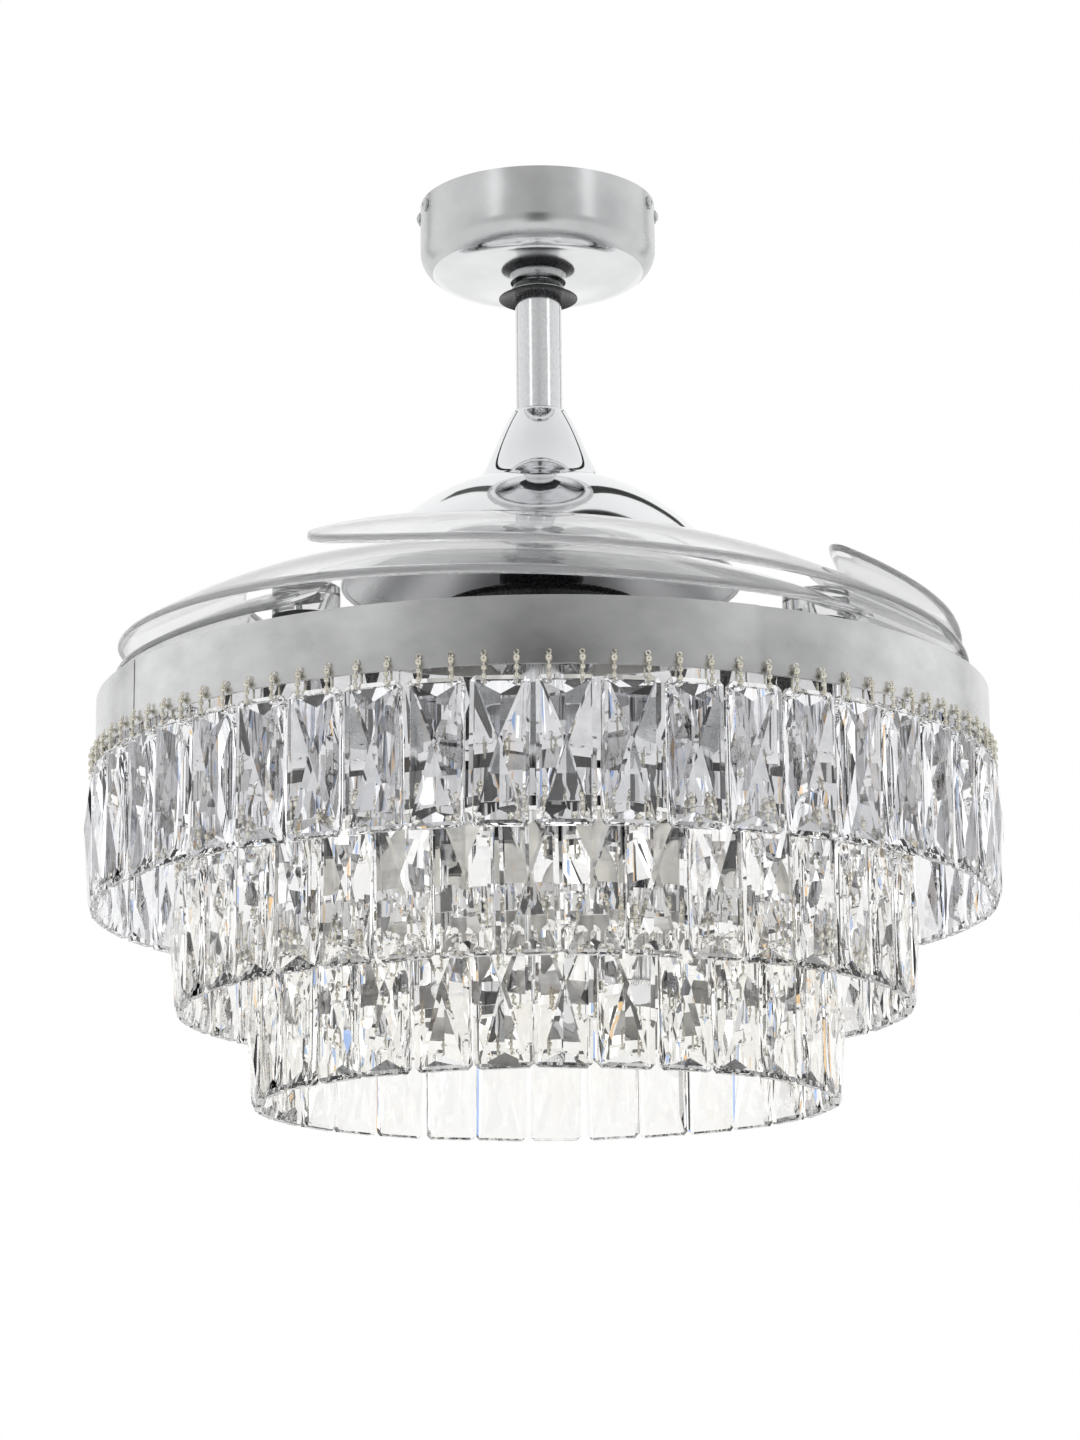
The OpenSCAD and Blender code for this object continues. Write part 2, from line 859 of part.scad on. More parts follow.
module gear_retainers() {
  washer_t = 1.2;
  color(steel)
    at_retainers()
      union() {
        disc(8, guide_top, guide_top + washer_t);
        translate([0, 0, guide_top + washer_t])
          screw(screw_r, 7, 3, 1.8);
      }
}

// ---- Gears ----------------------------------------------------------------

pressure_angle = 20;
addendum = gear_module;
dedendum = 1.25 * gear_module;

// Angle between the pitch point and the base of an involute, in degrees
function involute(a) = tan(a) * 180 / PI - a;

// Half the angle that a tooth takes up at a radius
function half_tooth(teeth, r) =
  let (pitch_r = gear_module * teeth / 2, base_r = pitch_r * cos(pressure_angle),
    lash = gear_backlash / pitch_r * 180 / PI)
    90 / teeth - lash + involute(pressure_angle) - involute(acos(min(1, base_r / r)));

// Outline of the teeth from number first to number last, along the rim
function teeth_outline(teeth, first, last) =
  let (pitch_r = gear_module * teeth / 2, base_r = pitch_r * cos(pressure_angle),
    low = pitch_r - dedendum, start = max(low + 0.01, base_r), high = pitch_r + addendum,
    radii = [low, for (j = [0 : 4]) start + (high - start) * j / 4])
    [for (i = [first : last])
      for (side = [-1, 1])
        for (j = [0 : 5])
          let (r = radii[side < 0 ? j : 5 - j], a = i * 360 / teeth + side * half_tooth(teeth, r))
            [r * cos(a), r * sin(a)]];

// Toothed part of a blade's pinion: at rest its last tooth but one is in mesh
module pinion_sector() {
  step = 360 / pinion_teeth;
  count = ceil(open_angle / step) + 1;
  rotate([0, 0, 180])
    linear_extrude(height = gear_thickness)
      polygon(concat([[0, 0]], teeth_outline(pinion_teeth, -count, 1)));
}

module sync_gear() {
  step = 360 / sun_teeth;
  root_r = sun_r - dedendum;
  ahead = ceil(sync_turn / step) + 3;
  inner = root_r - 5;
  color(black)
    difference() {
      union() {
        hoop(sun_bore_r, root_r + 0.1, gear_base, gear_top);
        for (i = [0 : blade_count - 1])
          rotate([0, 0, pivot_angle(i)])
            translate([0, 0, gear_base])
              linear_extrude(height = gear_thickness)
                polygon(concat(
                  moved_teeth(teeth_outline(sun_teeth, -3, ahead - 1), step / 2),
                  arc(0, 0, inner, (ahead - 0.5) * step, -2.5 * step, 6)));
      }
      disc(sun_bore_r, gear_base - cut, gear_top + cut);
    }
}

function moved_teeth(list, a) = [for (p = list) turned(p, a)];

// ---- Return springs -------------------------------------------------------

spring_wire_r = 0.5;
spring_mid_r = 8;
spring_curls = 4;
spring_pitch = 1.5;
spring_sides = 6;
spring_rings = 8;

// Middle of the wire at ring i
function spring_point(i) =
  let (a = i * 360 / spring_rings)
    [spring_mid_r * cos(a), spring_mid_r * sin(a), spring_wire_r + spring_pitch * i / spring_rings];

spring_last = spring_curls * spring_rings;
spring_gap = min([for (i = [0 : spring_last - spring_rings / 2])
  for (j = [i + spring_rings / 2 : spring_last])
    norm(spring_point(i) - spring_point(j))]) - 2 * spring_wire_r;
echo(spring_gap = spring_gap);

module torsion_spring() {
  last = spring_last;
  points = [for (i = [0 : last]) for (j = [0 : spring_sides - 1])
    let (p = spring_point(i), a = i * 360 / spring_rings, b = j * 360 / spring_sides,
      out = spring_wire_r * cos(b))
      [p.x + out * cos(a), p.y + out * sin(a), p.z + spring_wire_r * sin(b)]];
  ends = [[for (j = [0 : spring_sides - 1]) j],
    [for (j = [spring_sides - 1 : -1 : 0]) last * spring_sides + j]];
  sides = [for (i = [0 : last - 1]) for (j = [0 : spring_sides - 1])
    let (k = (j + 1) % spring_sides, a = i * spring_sides, b = a + spring_sides)
      for (face = [[a + j, b + j, b + k], [a + j, b + k, a + k]]) face];
  polyhedron(points = points, faces = concat(ends, sides));
}

module return_springs() {
  color(steel)
    at_pivots()
      translate([0, 0, carrier_top + seat])
        torsion_spring();
}

// ---- Blades ---------------------------------------------------------------

root_half_w = 22;
root_taper = 40;
root_round = root_half_w / blade_mid_r * 180 / PI;
tip_round = 21;
tip_taper = 0.2;                // share of its width that a blade loses towards its tip
taper_arc = 60;
camber = 2.5;
edge_share = 0.4;
lift_start = blade_arc - 30;
across = 6;

// Half of the blade's width, s degrees from its root end
function half_width(s) =
  let (full = root_half_w + (blade_w / 2 - root_half_w) * eased(s / root_taper),
    root = s < root_round ? sqrt(max(0.02, 1 - pow(1 - s / root_round, 2))) : 1,
    past = s - (blade_arc - tip_round),
    taper = 1 - tip_taper * eased((s - blade_arc + taper_arc) / taper_arc),
    tip = past > 0 ? sqrt(max(0.02, 1 - pow(past / tip_round, 2))) : 1)
    full * root * taper * tip;

// Height of the blade's middle surface at s degrees and radius r
function blade_z(s, r) =
  let (v = (r - blade_mid_r) / (blade_w / 2), lift = max(0, s - lift_start) / 30)
    blade_edge_z + blade_rise * s + (blade_outer_r - r) * tan(blade_lean)
      + camber * (1 - v * v) + tip_lift * lift * lift;

// Thickness above and below the middle surface, v from -1 at one edge to 1 at the other
function blade_up(v) = blade_thickness / 2 / cos(blade_lean) * (abs(v) > 0.99 ? edge_share : 1);
function blade_down(s, v) =
  blade_up(v) + root_bar * (1 - eased(s / root_bar_arc)) * (1 - eased(abs(v) * 1.2));

// Places along the blade, closer together where its ends are round
stations = concat(
  [for (i = [0 : 4]) root_round * (1 - cos(i * 90 / 4))],
  [for (i = [1 : 26]) root_round + (blade_arc - tip_round - root_round) * i / 26],
  [for (i = [1 : 7]) blade_arc - tip_round + tip_round * sin(i * 90 / 7)]);

module blade_sheet() {
  ring = 2 * (across + 1);
  last = len(stations) - 1;
  points = [for (s = stations)
    for (k = [0 : ring - 1])
      let (top = k <= across, v = -1 + 2 * (top ? k : ring - 1 - k) / across,
        r = blade_mid_r + v * half_width(s), z = blade_z(s, r))
        [r * cos(-s), r * sin(-s), top ? z + blade_up(v) : z - blade_down(s, v)]];
  ends = [[for (k = [ring - 1 : -1 : 0]) k], [for (k = [0 : ring - 1]) last * ring + k]];
  sides = [for (i = [0 : last - 1]) for (k = [0 : ring - 1])
    let (m = (k + 1) % ring, a = i * ring, b = a + ring)
      for (face = [[a + k, a + m, b + m], [a + k, b + m, b + k]]) face];
  polyhedron(points = points, faces = concat(flat_fan(ends[0]), flat_fan(ends[1]), sides));
}

// A loop of points as triangles
function flat_fan(loop) = [for (i = [1 : len(loop) - 2]) [loop[0], loop[i], loop[i + 1]]];

module blade(i) {
  color(clear)
    difference() {
      union() {
        rotate([0, 0, root_angle + i * 360 / blade_count])
          blade_sheet();
        at_pivot(i)
          disc(boss_r, boss_z, blade_z(pivot_s, pivot_r) + 0.4);
      }
      at_pivot(i)
        for (a = blade_screw_angles)
          rotate([0, 0, a])
            translate([blade_screw_r, 0, boss_z - cut])
              cylinder(r = screw_r, h = 6 + cut, $fn = 32);
    }
}

module blade_hub(i) {
  head_room = 3;
  color(black)
    at_pivot(i)
      difference() {
        union() {
          disc(boss_r, gear_base, boss_z);
          disc(pinion_r - dedendum + 0.15, gear_base, gear_top);
          translate([0, 0, gear_base])
            pinion_sector();
          // Lug that meets the bumpers
          rotate([0, 0, lug_angle])
            translate([boss_r - 3, -stop_lug_w / 2, gear_top + loose])
              cube([stop_r - boss_r + 4, stop_lug_w, 4]);
        }
        disc(spring_room_r, gear_base - cut, spring_room_top);
        disc(post_r + running, gear_base, boss_z);
        disc(post_r + 3.5, post_top - seat, boss_z + cut);
        for (a = blade_screw_angles)
          rotate([0, 0, a])
            translate([blade_screw_r, 0, 0]) {
              disc(screw_r + screw_clear, gear_base - cut, boss_z + cut);
              disc(screw_r + 1.6, gear_base - cut, gear_base + head_room);
            }
      }
}

module blade_screws(i) {
  color(steel)
    at_pivot(i)
      for (a = blade_screw_angles)
        rotate([0, 0, a])
          translate([blade_screw_r, 0, gear_base + 3])
            rotate([180, 0, 0])
              screw(screw_r, boss_z - gear_base + 2, 2.8, 1.6);
}

// ---- Light ----------------------------------------------------------------

flange_r = 30;
pan_screw_r = 21;

module pan_screw_holes(r) {
  for (i = [0 : 3])
    rotate([0, 0, 45 + i * 90])
      translate([pan_screw_r, 0, 0])
        disc(r, flange_base - cut, pan_top + cut);
}

module light_flange() {
  color(steel)
    difference() {
      disc(flange_r, flange_base, pan_base);
      disc(shaft_r, flange_base - cut, pan_base + cut);
      pan_screw_holes(screw_r);
    }
}

module flange_nut() {
  color(steel)
    hex_nut(16, flange_nut_base, flange_base, shaft_r);
}

module light_pan() {
  outer = ring_r - ring_wall - seat;
  color(chrome)
    difference() {
      union() {
        disc(outer, pan_base, pan_top);
        hoop(outer - pan_t, outer, pan_base, pan_top + pan_rim_h);
      }
      disc(shaft_r + 1, pan_base - cut, pan_top + cut);
      pan_screw_holes(screw_r + screw_clear);
    }
}

module pan_screws() {
  color(steel)
    for (i = [0 : 3])
      rotate([0, 0, 45 + i * 90])
        translate([pan_screw_r, 0, pan_top])
          screw(screw_r, 7, 3, 1.5);
}

// Places its children at the two hooks of every crystal of a tier
module at_hooks(r, turn) {
  count = tier_count(r);
  for (i = [0 : count - 1])
    for (side = [-1, 1])
      rotate([0, 0, crystal_angle(i, count, turn) + side * asin(hook_spacing / 2 / r)])
        translate([r, 0, 0])
          children();
}

module hook_holes(r, base, turn) {
  at_hooks(r, turn)
    translate([-3, 0, base + hook_rise])
      rotate([0, 90, 0])
        cylinder(r = hook_hole_r, h = 6, $fn = 24);
}

module ring_band() {
  lip = 4;
  color(steel)
    difference() {
      union() {
        hoop(ring_r - ring_wall, ring_r, ring_base, ring_top);
        hoop(ring_r - lip, ring_r, ring_top - ring_wall, ring_top);
      }
      hook_holes(tier_1_r, ring_base, tier_1_turn);
    }
}

module centre_column() {
  end_r = column_r - 2;
  color(chrome)
    difference() {
      union() {
        disc(column_r, column_base, flange_nut_base);
        // Rounded foot
        translate([0, 0, column_base])
          sphere(r = column_r);
      }
      disc(shaft_r, flange_nut_base - column_socket, flange_nut_base + cut);
      disc(end_r, column_base, flange_nut_base - column_socket);
    }
}

// A ring that sits on the column under a frame, with its set screw
module set_collar(top) {
  difference() {
    union() {
      hoop(column_r, column_r + 5, top - collar_h_small, top);
      translate([column_r + 1, 0, top - collar_h_small / 2])
        rotate([0, 90, 0])
          cylinder(r = 2, h = 6, $fn = 32);
    }
    disc(column_r, top - collar_h_small - cut, top + cut);
  }
}

module frame_collars() {
  color(steel)
    for (top = [lamp_plate_z, tier_2_base + tier_strip_h - spoke_t,
        tier_3_base + tier_strip_h - spoke_t])
      set_collar(top);
}

// Ring that carries a tier of crystals, with its spokes to the column
module tier_frame(r, base, turn) {
  top = base + tier_strip_h;
  color(chrome)
    difference() {
      union() {
        hoop(r - ring_wall / 2, r + ring_wall / 2, base, top);
        disc(column_r + 10, top - spoke_t, top);
        for (i = [0 : 2])
          rotate([0, 0, 90 + i * 120])
            translate([0, -spoke_w / 2, top - spoke_t])
              cube([r, spoke_w, spoke_t]);
      }
      disc(column_r + seat, base, top + cut);
      hook_holes(r, base, turn);
    }
}

module tier_frame_2() {
  tier_frame(tier_2_r, tier_2_base, tier_2_turn);
}

module tier_frame_3() {
  tier_frame(tier_3_r, tier_3_base, tier_3_turn);
}

module at_lamps() {
  for (i = [0 : lamp_count - 1])
    rotate([0, 0, i * 360 / lamp_count])
      translate([lamp_circle_r, 0, 0])
        children();
}

module lamp_plate() {
  color(chrome)
    difference() {
      disc(lamp_circle_r + lamp_holder_r + 3, lamp_plate_z, lamp_plate_z + 2);
      disc(column_r + seat, lamp_plate_z - cut, lamp_plate_z + 2 + cut);
      at_lamps()
        disc(4, lamp_plate_z - cut, lamp_plate_z + 2 + cut);
    }
}

module lamp_holders() {
  low = lamp_plate_z - lamp_holder_h;
  color(black)
    at_lamps()
      difference() {
        union() {
          disc(lamp_holder_r, low, lamp_plate_z);
          hoop(lamp_holder_r - 1, lamp_holder_r + 1, low, low + 4);
        }
        disc(lamp_holder_r - 4, low - cut, low + 18);
      }
}

module bulbs() {
  low = lamp_plate_z - lamp_holder_h;
  cap_r = lamp_holder_r - 4 - seat;
  side = curve([cap_r, low - 0.5], [bulb_r + 7, low - 14], [bulb_r, low - 0.7 * bulb_h],
    [0, low - bulb_h], 14);
  color(clear)
    at_lamps()
      rotate_extrude()
        polygon(concat([[0, low + 14], [cap_r, low + 14]], side));
}

// ---- Crystals -------------------------------------------------------------

// Wire ring from a tier ring's hole down to a crystal's hole
module hook() {
  translate([0, 0, -hook_r])
    rotate([90, 0, 0])
      rotate_extrude($fn = 32)
        translate([hook_r, 0])
          circle(r = wire_r, $fn = 16);
}

module crystal_hooks() {
  color(chrome) {
    at_hooks(tier_1_r, tier_1_turn)
      translate([0, 0, ring_base + hook_rise])
        hook();
    at_hooks(tier_2_r, tier_2_turn)
      translate([0, 0, tier_2_base + hook_rise])
        hook();
    at_hooks(tier_3_r, tier_3_turn)
      translate([0, 0, tier_3_base + hook_rise])
        hook();
  }
}

// Rectangular crystal cut to a low point on both faces, hanging from its top edge
module crystal() {
  w = crystal_w / 2;
  c = corner_cut;
  edge = crystal_edge / 2;
  outline = [[w, -c], [w - c, 0], [c - w, 0], [-w, -c],
    [-w, c - crystal_h], [c - w, -crystal_h], [w - c, -crystal_h], [w, c - crystal_h]];
  n = len(outline);
  apex_z = -apex_drop * crystal_h;
  points = concat(
    [for (p = outline) [edge, p.x, p.y]],
    [for (p = outline) [-edge, p.x, p.y]],
    [[crystal_depth / 2, 0, apex_z], [-crystal_depth / 2, 0, apex_z]]);
  front = [for (i = [0 : n - 1]) [i, (i + 1) % n, 2 * n]];
  back = [for (i = [0 : n - 1]) [n + (i + 1) % n, n + i, 2 * n + 1]];
  sides = [for (i = [0 : n - 1]) let (j = (i + 1) % n)
    for (face = [[j, i, n + i], [j, n + i, n + j]]) face];
  difference() {
    polyhedron(points = points, faces = concat(front, back, sides));
    for (side = [-1, 1])
      translate([-crystal_depth, side * hook_spacing / 2, -hole_drop])
        rotate([0, 90, 0])
          cylinder(r = crystal_hole_r, h = 2 * crystal_depth, $fn = 16);
  }
}

module crystal_tier(r, base, turn) {
  count = tier_count(r);
  color(clear)
    for (i = [0 : count - 1])
      rotate([0, 0, crystal_angle(i, count, turn)])
        translate([r, 0, base - hook_gap])
          crystal();
}

module crystals_1() {
  crystal_tier(tier_1_r, ring_base, tier_1_turn);
}

module crystals_2() {
  crystal_tier(tier_2_r, tier_2_base, tier_2_turn);
}

module crystals_3() {
  crystal_tier(tier_3_r, tier_3_base, tier_3_turn);
}

hanger_bracket();
canopy();
canopy_screws();
remote_receiver();
hanger_ball();
ball_pin();
downrod();
rod_collar();
rod_yoke();
yoke_pin();
bell_cover();
dome_cover();
dome_bracket();
dome_screws();
shaft_nut();
motor_shaft();
stator_core();
stator_coils();
upper_bearing();
lower_bearing();
motor_top();
motor_base();
rotor_magnets();
casing_screws();
blade_carrier();
carrier_screws();
pivot_posts();
post_screws();
return_springs();
stop_bumpers();
gear_retainers();
sync_gear();
blade(0);  // blade_1
blade(1);  // blade_2
blade(2);  // blade_3
blade(3);  // blade_4
blade_hub(0);  // blade_hub_1
blade_hub(1);  // blade_hub_2
blade_hub(2);  // blade_hub_3
blade_hub(3);  // blade_hub_4
blade_screws(0);  // blade_screws_1
blade_screws(1);  // blade_screws_2
blade_screws(2);  // blade_screws_3
blade_screws(3);  // blade_screws_4
light_flange();
flange_nut();
light_pan();
pan_screws();
ring_band();
centre_column();
frame_collars();
lamp_plate();
lamp_holders();
bulbs();
tier_frame_2();
tier_frame_3();
crystal_hooks();
crystals_1();
crystals_2();
crystals_3();
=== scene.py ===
"""Looks of the ceiling fan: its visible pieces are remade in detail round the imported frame."""

import json
import random
from math import asin, atan2, cos, degrees, exp, floor, pi, radians, sin, sqrt, tan

import bmesh
import bpy
from mathutils import Matrix, Vector


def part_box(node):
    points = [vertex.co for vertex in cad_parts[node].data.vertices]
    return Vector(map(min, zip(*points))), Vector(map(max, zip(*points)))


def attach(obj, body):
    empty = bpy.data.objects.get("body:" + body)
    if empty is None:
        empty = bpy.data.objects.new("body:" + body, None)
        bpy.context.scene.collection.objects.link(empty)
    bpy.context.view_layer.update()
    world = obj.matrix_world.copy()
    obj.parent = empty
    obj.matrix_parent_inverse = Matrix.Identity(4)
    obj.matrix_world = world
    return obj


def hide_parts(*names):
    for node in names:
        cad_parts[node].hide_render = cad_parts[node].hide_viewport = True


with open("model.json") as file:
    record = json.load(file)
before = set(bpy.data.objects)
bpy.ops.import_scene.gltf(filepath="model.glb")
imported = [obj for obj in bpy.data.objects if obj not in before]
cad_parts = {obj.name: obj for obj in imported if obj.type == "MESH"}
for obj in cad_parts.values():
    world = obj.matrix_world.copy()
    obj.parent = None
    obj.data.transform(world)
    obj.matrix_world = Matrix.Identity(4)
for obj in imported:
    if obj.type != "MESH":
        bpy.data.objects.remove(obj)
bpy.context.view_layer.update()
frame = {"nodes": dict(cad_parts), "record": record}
scene = bpy.context.scene
MM = 0.001

# ---- Sizes, in millimetres and degrees -------------------------------------------------


def node_box(name):
    """Lowest and highest corner of a CAD node, in millimetres."""
    low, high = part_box(name)
    return low / MM, high / MM


# A "pull" is the way from an end of a curve to the control point next to it.

canopy_low, canopy_high = node_box("canopy")
CANOPY_R = canopy_high.x
CANOPY_BASE = canopy_low.z
CANOPY_CORNER = 16
CANOPY_DISH = 3
CANOPY_DISH_PULL = 12
CANOPY_HOLE_R = 16
CANOPY_UNDERSIDE_H = 2.5
CANOPY_SCREWS = (-20, 0, 180, 200)
CANOPY_SCREW_Z = -6
CANOPY_SCREW_HEAD = (2.9, 2.2)
WASHER_TEETH = 12
WASHER_R = (3.3, 3.9)
WASHER_Z = (0.05, 0.75)

SCREW_LENGTH = 6
SCREW_SHAFT_R = 1.5
# The shoulder's height and the recess's points, as shares of the head's radius and height.
SCREW_SHOULDER = 0.35
SCREW_RECESS = ((0.38, 0.97), (0.3, 0.55), (0, 0.5))

rod_low, rod_high = node_box("downrod")
ROD_R = rod_high.x
ROD_WALL = 2
ROD_SOFT = 0.4
BORE_PLAY = 0.1
COVER_WALL = 1.2

# Offsets: of the cup from the bore or the rim at the collar's base, of the cone from the
# bore at the cup's top or at the collar's top.
collar_low, collar_high = node_box("rod_collar")
CUP_H = 4
CUP_LIP_R = 0.4
CUP_HOLLOW_BORE = ((0, 3.1), (3, 3))
CUP_HOLLOW_RIM = ((-4, 1.6), (-0.5, 0))
CUP_BACK_RIM = ((-0.3, 0.9), (-4, 2.4))
CUP_BACK_BORE = ((5.5, 3.1), (3.4, CUP_H))
CONE_FOOT = ((0, 0.02), (3.3, 0.02), (3.3, 0.4), (2.6, 0.9))
CONE_TIP = ((1.3, -1.0), (1, -0.2), (0.8, 0), (0, 0))

bell_low, bell_high = node_box("bell_cover")
BELL_TOP_R = 16.2
BELL_TOP_T = 2.4
BELL_ROUND = 1.2
BELL_TOP_PULL = (9.8, -17.5)
BELL_FOOT_PULL = (-9.4, 10.5)

dome_low, dome_high = node_box("dome_cover")
DOME_HOLE_R = 30
DOME_ROLL_R = 1.4
DOME_ROLL_IN = 0.9
DOME_ROLL_SWEEP = 340
DOME_SEAT_R = bell_high.x
DOME_TOP = dome_high.z
DOME_SEAT_PULL = (25.6, -5.5)
DOME_RIM_R = dome_high.x - DOME_ROLL_R + DOME_ROLL_IN
DOME_RIM = dome_low.z + DOME_ROLL_R
DOME_RIM_PULL = (-25.5, 31.6)
DOME_WALL_STEP = 0.7 * COVER_WALL
DOME_INSIDE_NORMAL = -0.1
# The dome's screws sit on one segment of its side: which, and of how many.
DOME_SCREW_AT = (11, 20)
DOME_SCREW_LIFT = 0.25
DOME_SCREW_HEAD = (3.2, 2.4)

ring_low, ring_high = node_box("ring_band")
RING_R = ring_high.x
RING_WALL = 1.2
RING_LIP = 4
RING_SOFT = 0.35
RING_BASE = ring_low.z
RING_TOP = ring_high.z
SEAMS = (-150.2, -63.9)
SEAM_DENTS = (0.3, 1.1)
SEAM_REACH = 5.5
SEAM_GAP = 0.03

# Along a blade, places are degrees from its root; across it, millimetres.
BLADE_COUNT = 4
BLADE_ROOT = -34.3
BLADE_ARC = 182
BLADE_W = 75
BLADE_OUTER = RING_R - 10
BLADE_MID = BLADE_OUTER - BLADE_W / 2
BLADE_T = 3.4
BLADE_LEAN = 26
BLADE_RISE = 0.17
BLADE_CAMBER = 2.5
BLADE_SHARP = 40
TIP_LIFT = 1
TIP_ROUND = 21
TIP_TAPER = 0.2
TAPER_ARC = 60
LIFT_ARC = 30
ROOT_HALF_W = 22
ROOT_TAPER = 40
ROOT_ROUND = degrees(ROOT_HALF_W / BLADE_MID)
ROOT_BAR = 5
ROOT_BAR_ARC = 36
ROOT_BAR_NARROW = 1.2
END_LEAST = 0.02
EDGE_PLACES = (0, 0.12, 0.45, 1.0, BLADE_T / 2)
CARRIER_TOP = node_box("blade_carrier")[0].z + 3
BLADE_EDGE_Z = CARRIER_TOP + 3.55
PIVOT_R = 192
PIVOT_S = 6
BOSS_R = 18
BOSS_Z = CARRIER_TOP + 14.5
BOSS_RISE = 0.4
BOSS_SOFT = 0.5

TIER_STEPS = (0, 48.2, 90.6)
TIER_R = tuple(RING_R - RING_WALL / 2 - step for step in TIER_STEPS)
TIER_TURN = (-1.1, 2.3, -2.2)
TIER_BASE = (RING_BASE, node_box("tier_frame_2")[0].z, node_box("tier_frame_3")[0].z)
CRYSTAL_W = 30
CRYSTAL_H = 76
CRYSTAL_EDGE = 4
CRYSTAL_DEPTH = 13
CRYSTAL_GAP = 2.1
CRYSTAL_SWAY = 1.2
CRYSTAL_TWIST = 2.0
CRYSTAL_SEED = 40
CORNER_CUT = 2.5
APEX_DROP = 0.44
STRIP_W = 2.8
STRIP_RISE = 1.15
END_RISE = 9
END_DEPTH = 5.2

HOOK_RISE = 3.5
HOOK_GAP = 5.8
HOLE_DROP = 3.2
CRYSTAL_HOLE_R = 1.4
HOOK_SPACING = 16.4
HOOK_TWIST = 10
HOOK_SEED = 70
WIRE_R = 0.6
LINK_R = 3.0
# Each bead: x, z, radius and how much it is stretched upwards.
BEADS = ((2.75, 2.7, 1.95, 1.05), (LINK_R, -2.0, 1.5, 1.0), (LINK_R, -6.2, 1.35, 1.1))
BEAD_STEP = 20
EYE_X, EYE_Z = 2.1, 5.9
EYE_R = 1.15
EYE_WIRE_R = 0.4
EYE_STEPS = 12

# ---- Mesh helpers ----------------------------------------------------------------------


class Shape:
    """Points in millimetres and the faces between them."""

    def __init__(self):
        self.points = []
        self.faces = []

    def add(self, points, faces, matrix=None):
        start = len(self.points)
        if matrix is None:
            self.points += [tuple(p) for p in points]
        else:
            self.points += [tuple(matrix @ Vector(p)) for p in points]
        self.faces += [[i + start for i in face] for face in faces]
        return self


def turn(angle, axis="Z"):
    return Matrix.Rotation(radians(angle), 4, axis)


def shift(x, y, z):
    return Matrix.Translation((x, y, z))


def near(point, *offsets):
    """The points at the given offsets from a point."""
    return [(point[0] + x, point[1] + y) for x, y in offsets]


def arc(cx, cy, r, start, end, steps):
    """Points of an arc between two angles."""
    angles = [radians(start + (end - start) * i / steps) for i in range(steps + 1)]
    return [(cx + r * cos(a), cy + r * sin(a)) for a in angles]


def curve(controls, steps):
    """Points of a cubic curve from the first to the last of four control points."""
    points = []
    for i in range(steps + 1):
        t = i / steps
        u = 1 - t
        w = (u * u * u, 3 * u * u * t, 3 * u * t * t, t * t * t)
        points.append(tuple(sum(k * p[j] for k, p in zip(w, controls)) for j in (0, 1)))
    return points


def lathe(profile, steps, start=0, sweep=360):
    """Turns a closed outline of (radius, height) about Z, and closes the ends of a part turn."""
    whole = sweep >= 360
    columns = steps if whole else steps + 1
    n = len(profile)
    points = []
    for i in range(columns):
        a = radians(start + sweep * i / steps)
        points += [(r * cos(a), r * sin(a), z) for r, z in profile]
    faces = []
    for i in range(steps):
        here, there = i * n, (i + 1) % columns * n
        for j in range(n):
            k = (j + 1) % n
            faces.append([here + j, there + j, there + k, here + k])
    if not whole:
        faces.append(list(range(n)))
        faces.append([(columns - 1) * n + j for j in reversed(range(n))])
    return points, faces


def solid_of_turn(outline, steps):
    """Turns an outline that starts and ends on the axis."""
    points = [(0, 0, outline[0][1])]
    rows = outline[1:-1]
    angles = [2 * pi * i / steps for i in range(steps)]
    for r, z in rows:
        points += [(r * cos(a), r * sin(a), z) for a in angles]
    points.append((0, 0, outline[-1][1]))
    last = len(points) - 1
    faces = []
    for i in range(steps):
        k = (i + 1) % steps
        faces.append([0, 1 + k, 1 + i])
        for row in range(len(rows) - 1):
            a = 1 + row * steps
            faces.append([a + i, a + k, a + steps + k, a + steps + i])
        a = 1 + (len(rows) - 1) * steps
        faces.append([a + i, a + k, last])
    return points, faces


def wire_loop(path, radius, sides):
    """A round wire along a closed path of points."""
    points = []
    count = len(path)
    normal = None
    for i, p in enumerate(path):
        along = (Vector(path[(i + 1) % count]) - Vector(path[i - 1])).normalized()
        if normal is None:
            normal = along.orthogonal().normalized()
        normal = (normal - along * normal.dot(along)).normalized()
        side = along.cross(normal)
        for j in range(sides):
            a = 2 * pi * j / sides
            points.append(tuple(Vector(p) + (normal * cos(a) + side * sin(a)) * radius))
    faces = []
    for i in range(count):
        here, there = i * sides, (i + 1) % count * sides
        for j in range(sides):
            k = (j + 1) % sides
            faces.append([here + j, here + k, there + k, there + j])
    return points, faces


def bead(radius, stretch):
    """A ball whose height is multiplied by stretch."""
    half = [(radius * sin(radians(a)), radius * stretch * -cos(radians(a)))
            for a in range(0, 181, BEAD_STEP)]
    return solid_of_turn(half, steps=12)


def make_mesh(name, shape, sharp=35):
    """A smooth mesh, sharp where faces meet at more than that angle; 0 leaves every face flat."""
    mesh = bpy.data.meshes.new(name)
    mesh.from_pydata([Vector(p) * MM for p in shape.points], [], shape.faces)
    mesh.validate()
    solid = bmesh.new()
    solid.from_mesh(mesh)
    bmesh.ops.recalc_face_normals(solid, faces=solid.faces)
    solid.to_mesh(mesh)
    solid.free()
    mesh.polygons.foreach_set("use_smooth", [sharp > 0] * len(mesh.polygons))
    if sharp > 0:
        mesh.set_sharp_from_angle(angle=radians(sharp))
    mesh.update()
    return mesh


def piece(name, mesh, material, body, replaced=()):
    """Puts a mesh in the scene as a piece that rides on a body and stands for CAD nodes."""
    made = bpy.data.objects.new(name, mesh)
    scene.collection.objects.link(made)
    mesh.materials.append(material)
    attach(made, body)
    if replaced:
        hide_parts(*replaced)
    return made


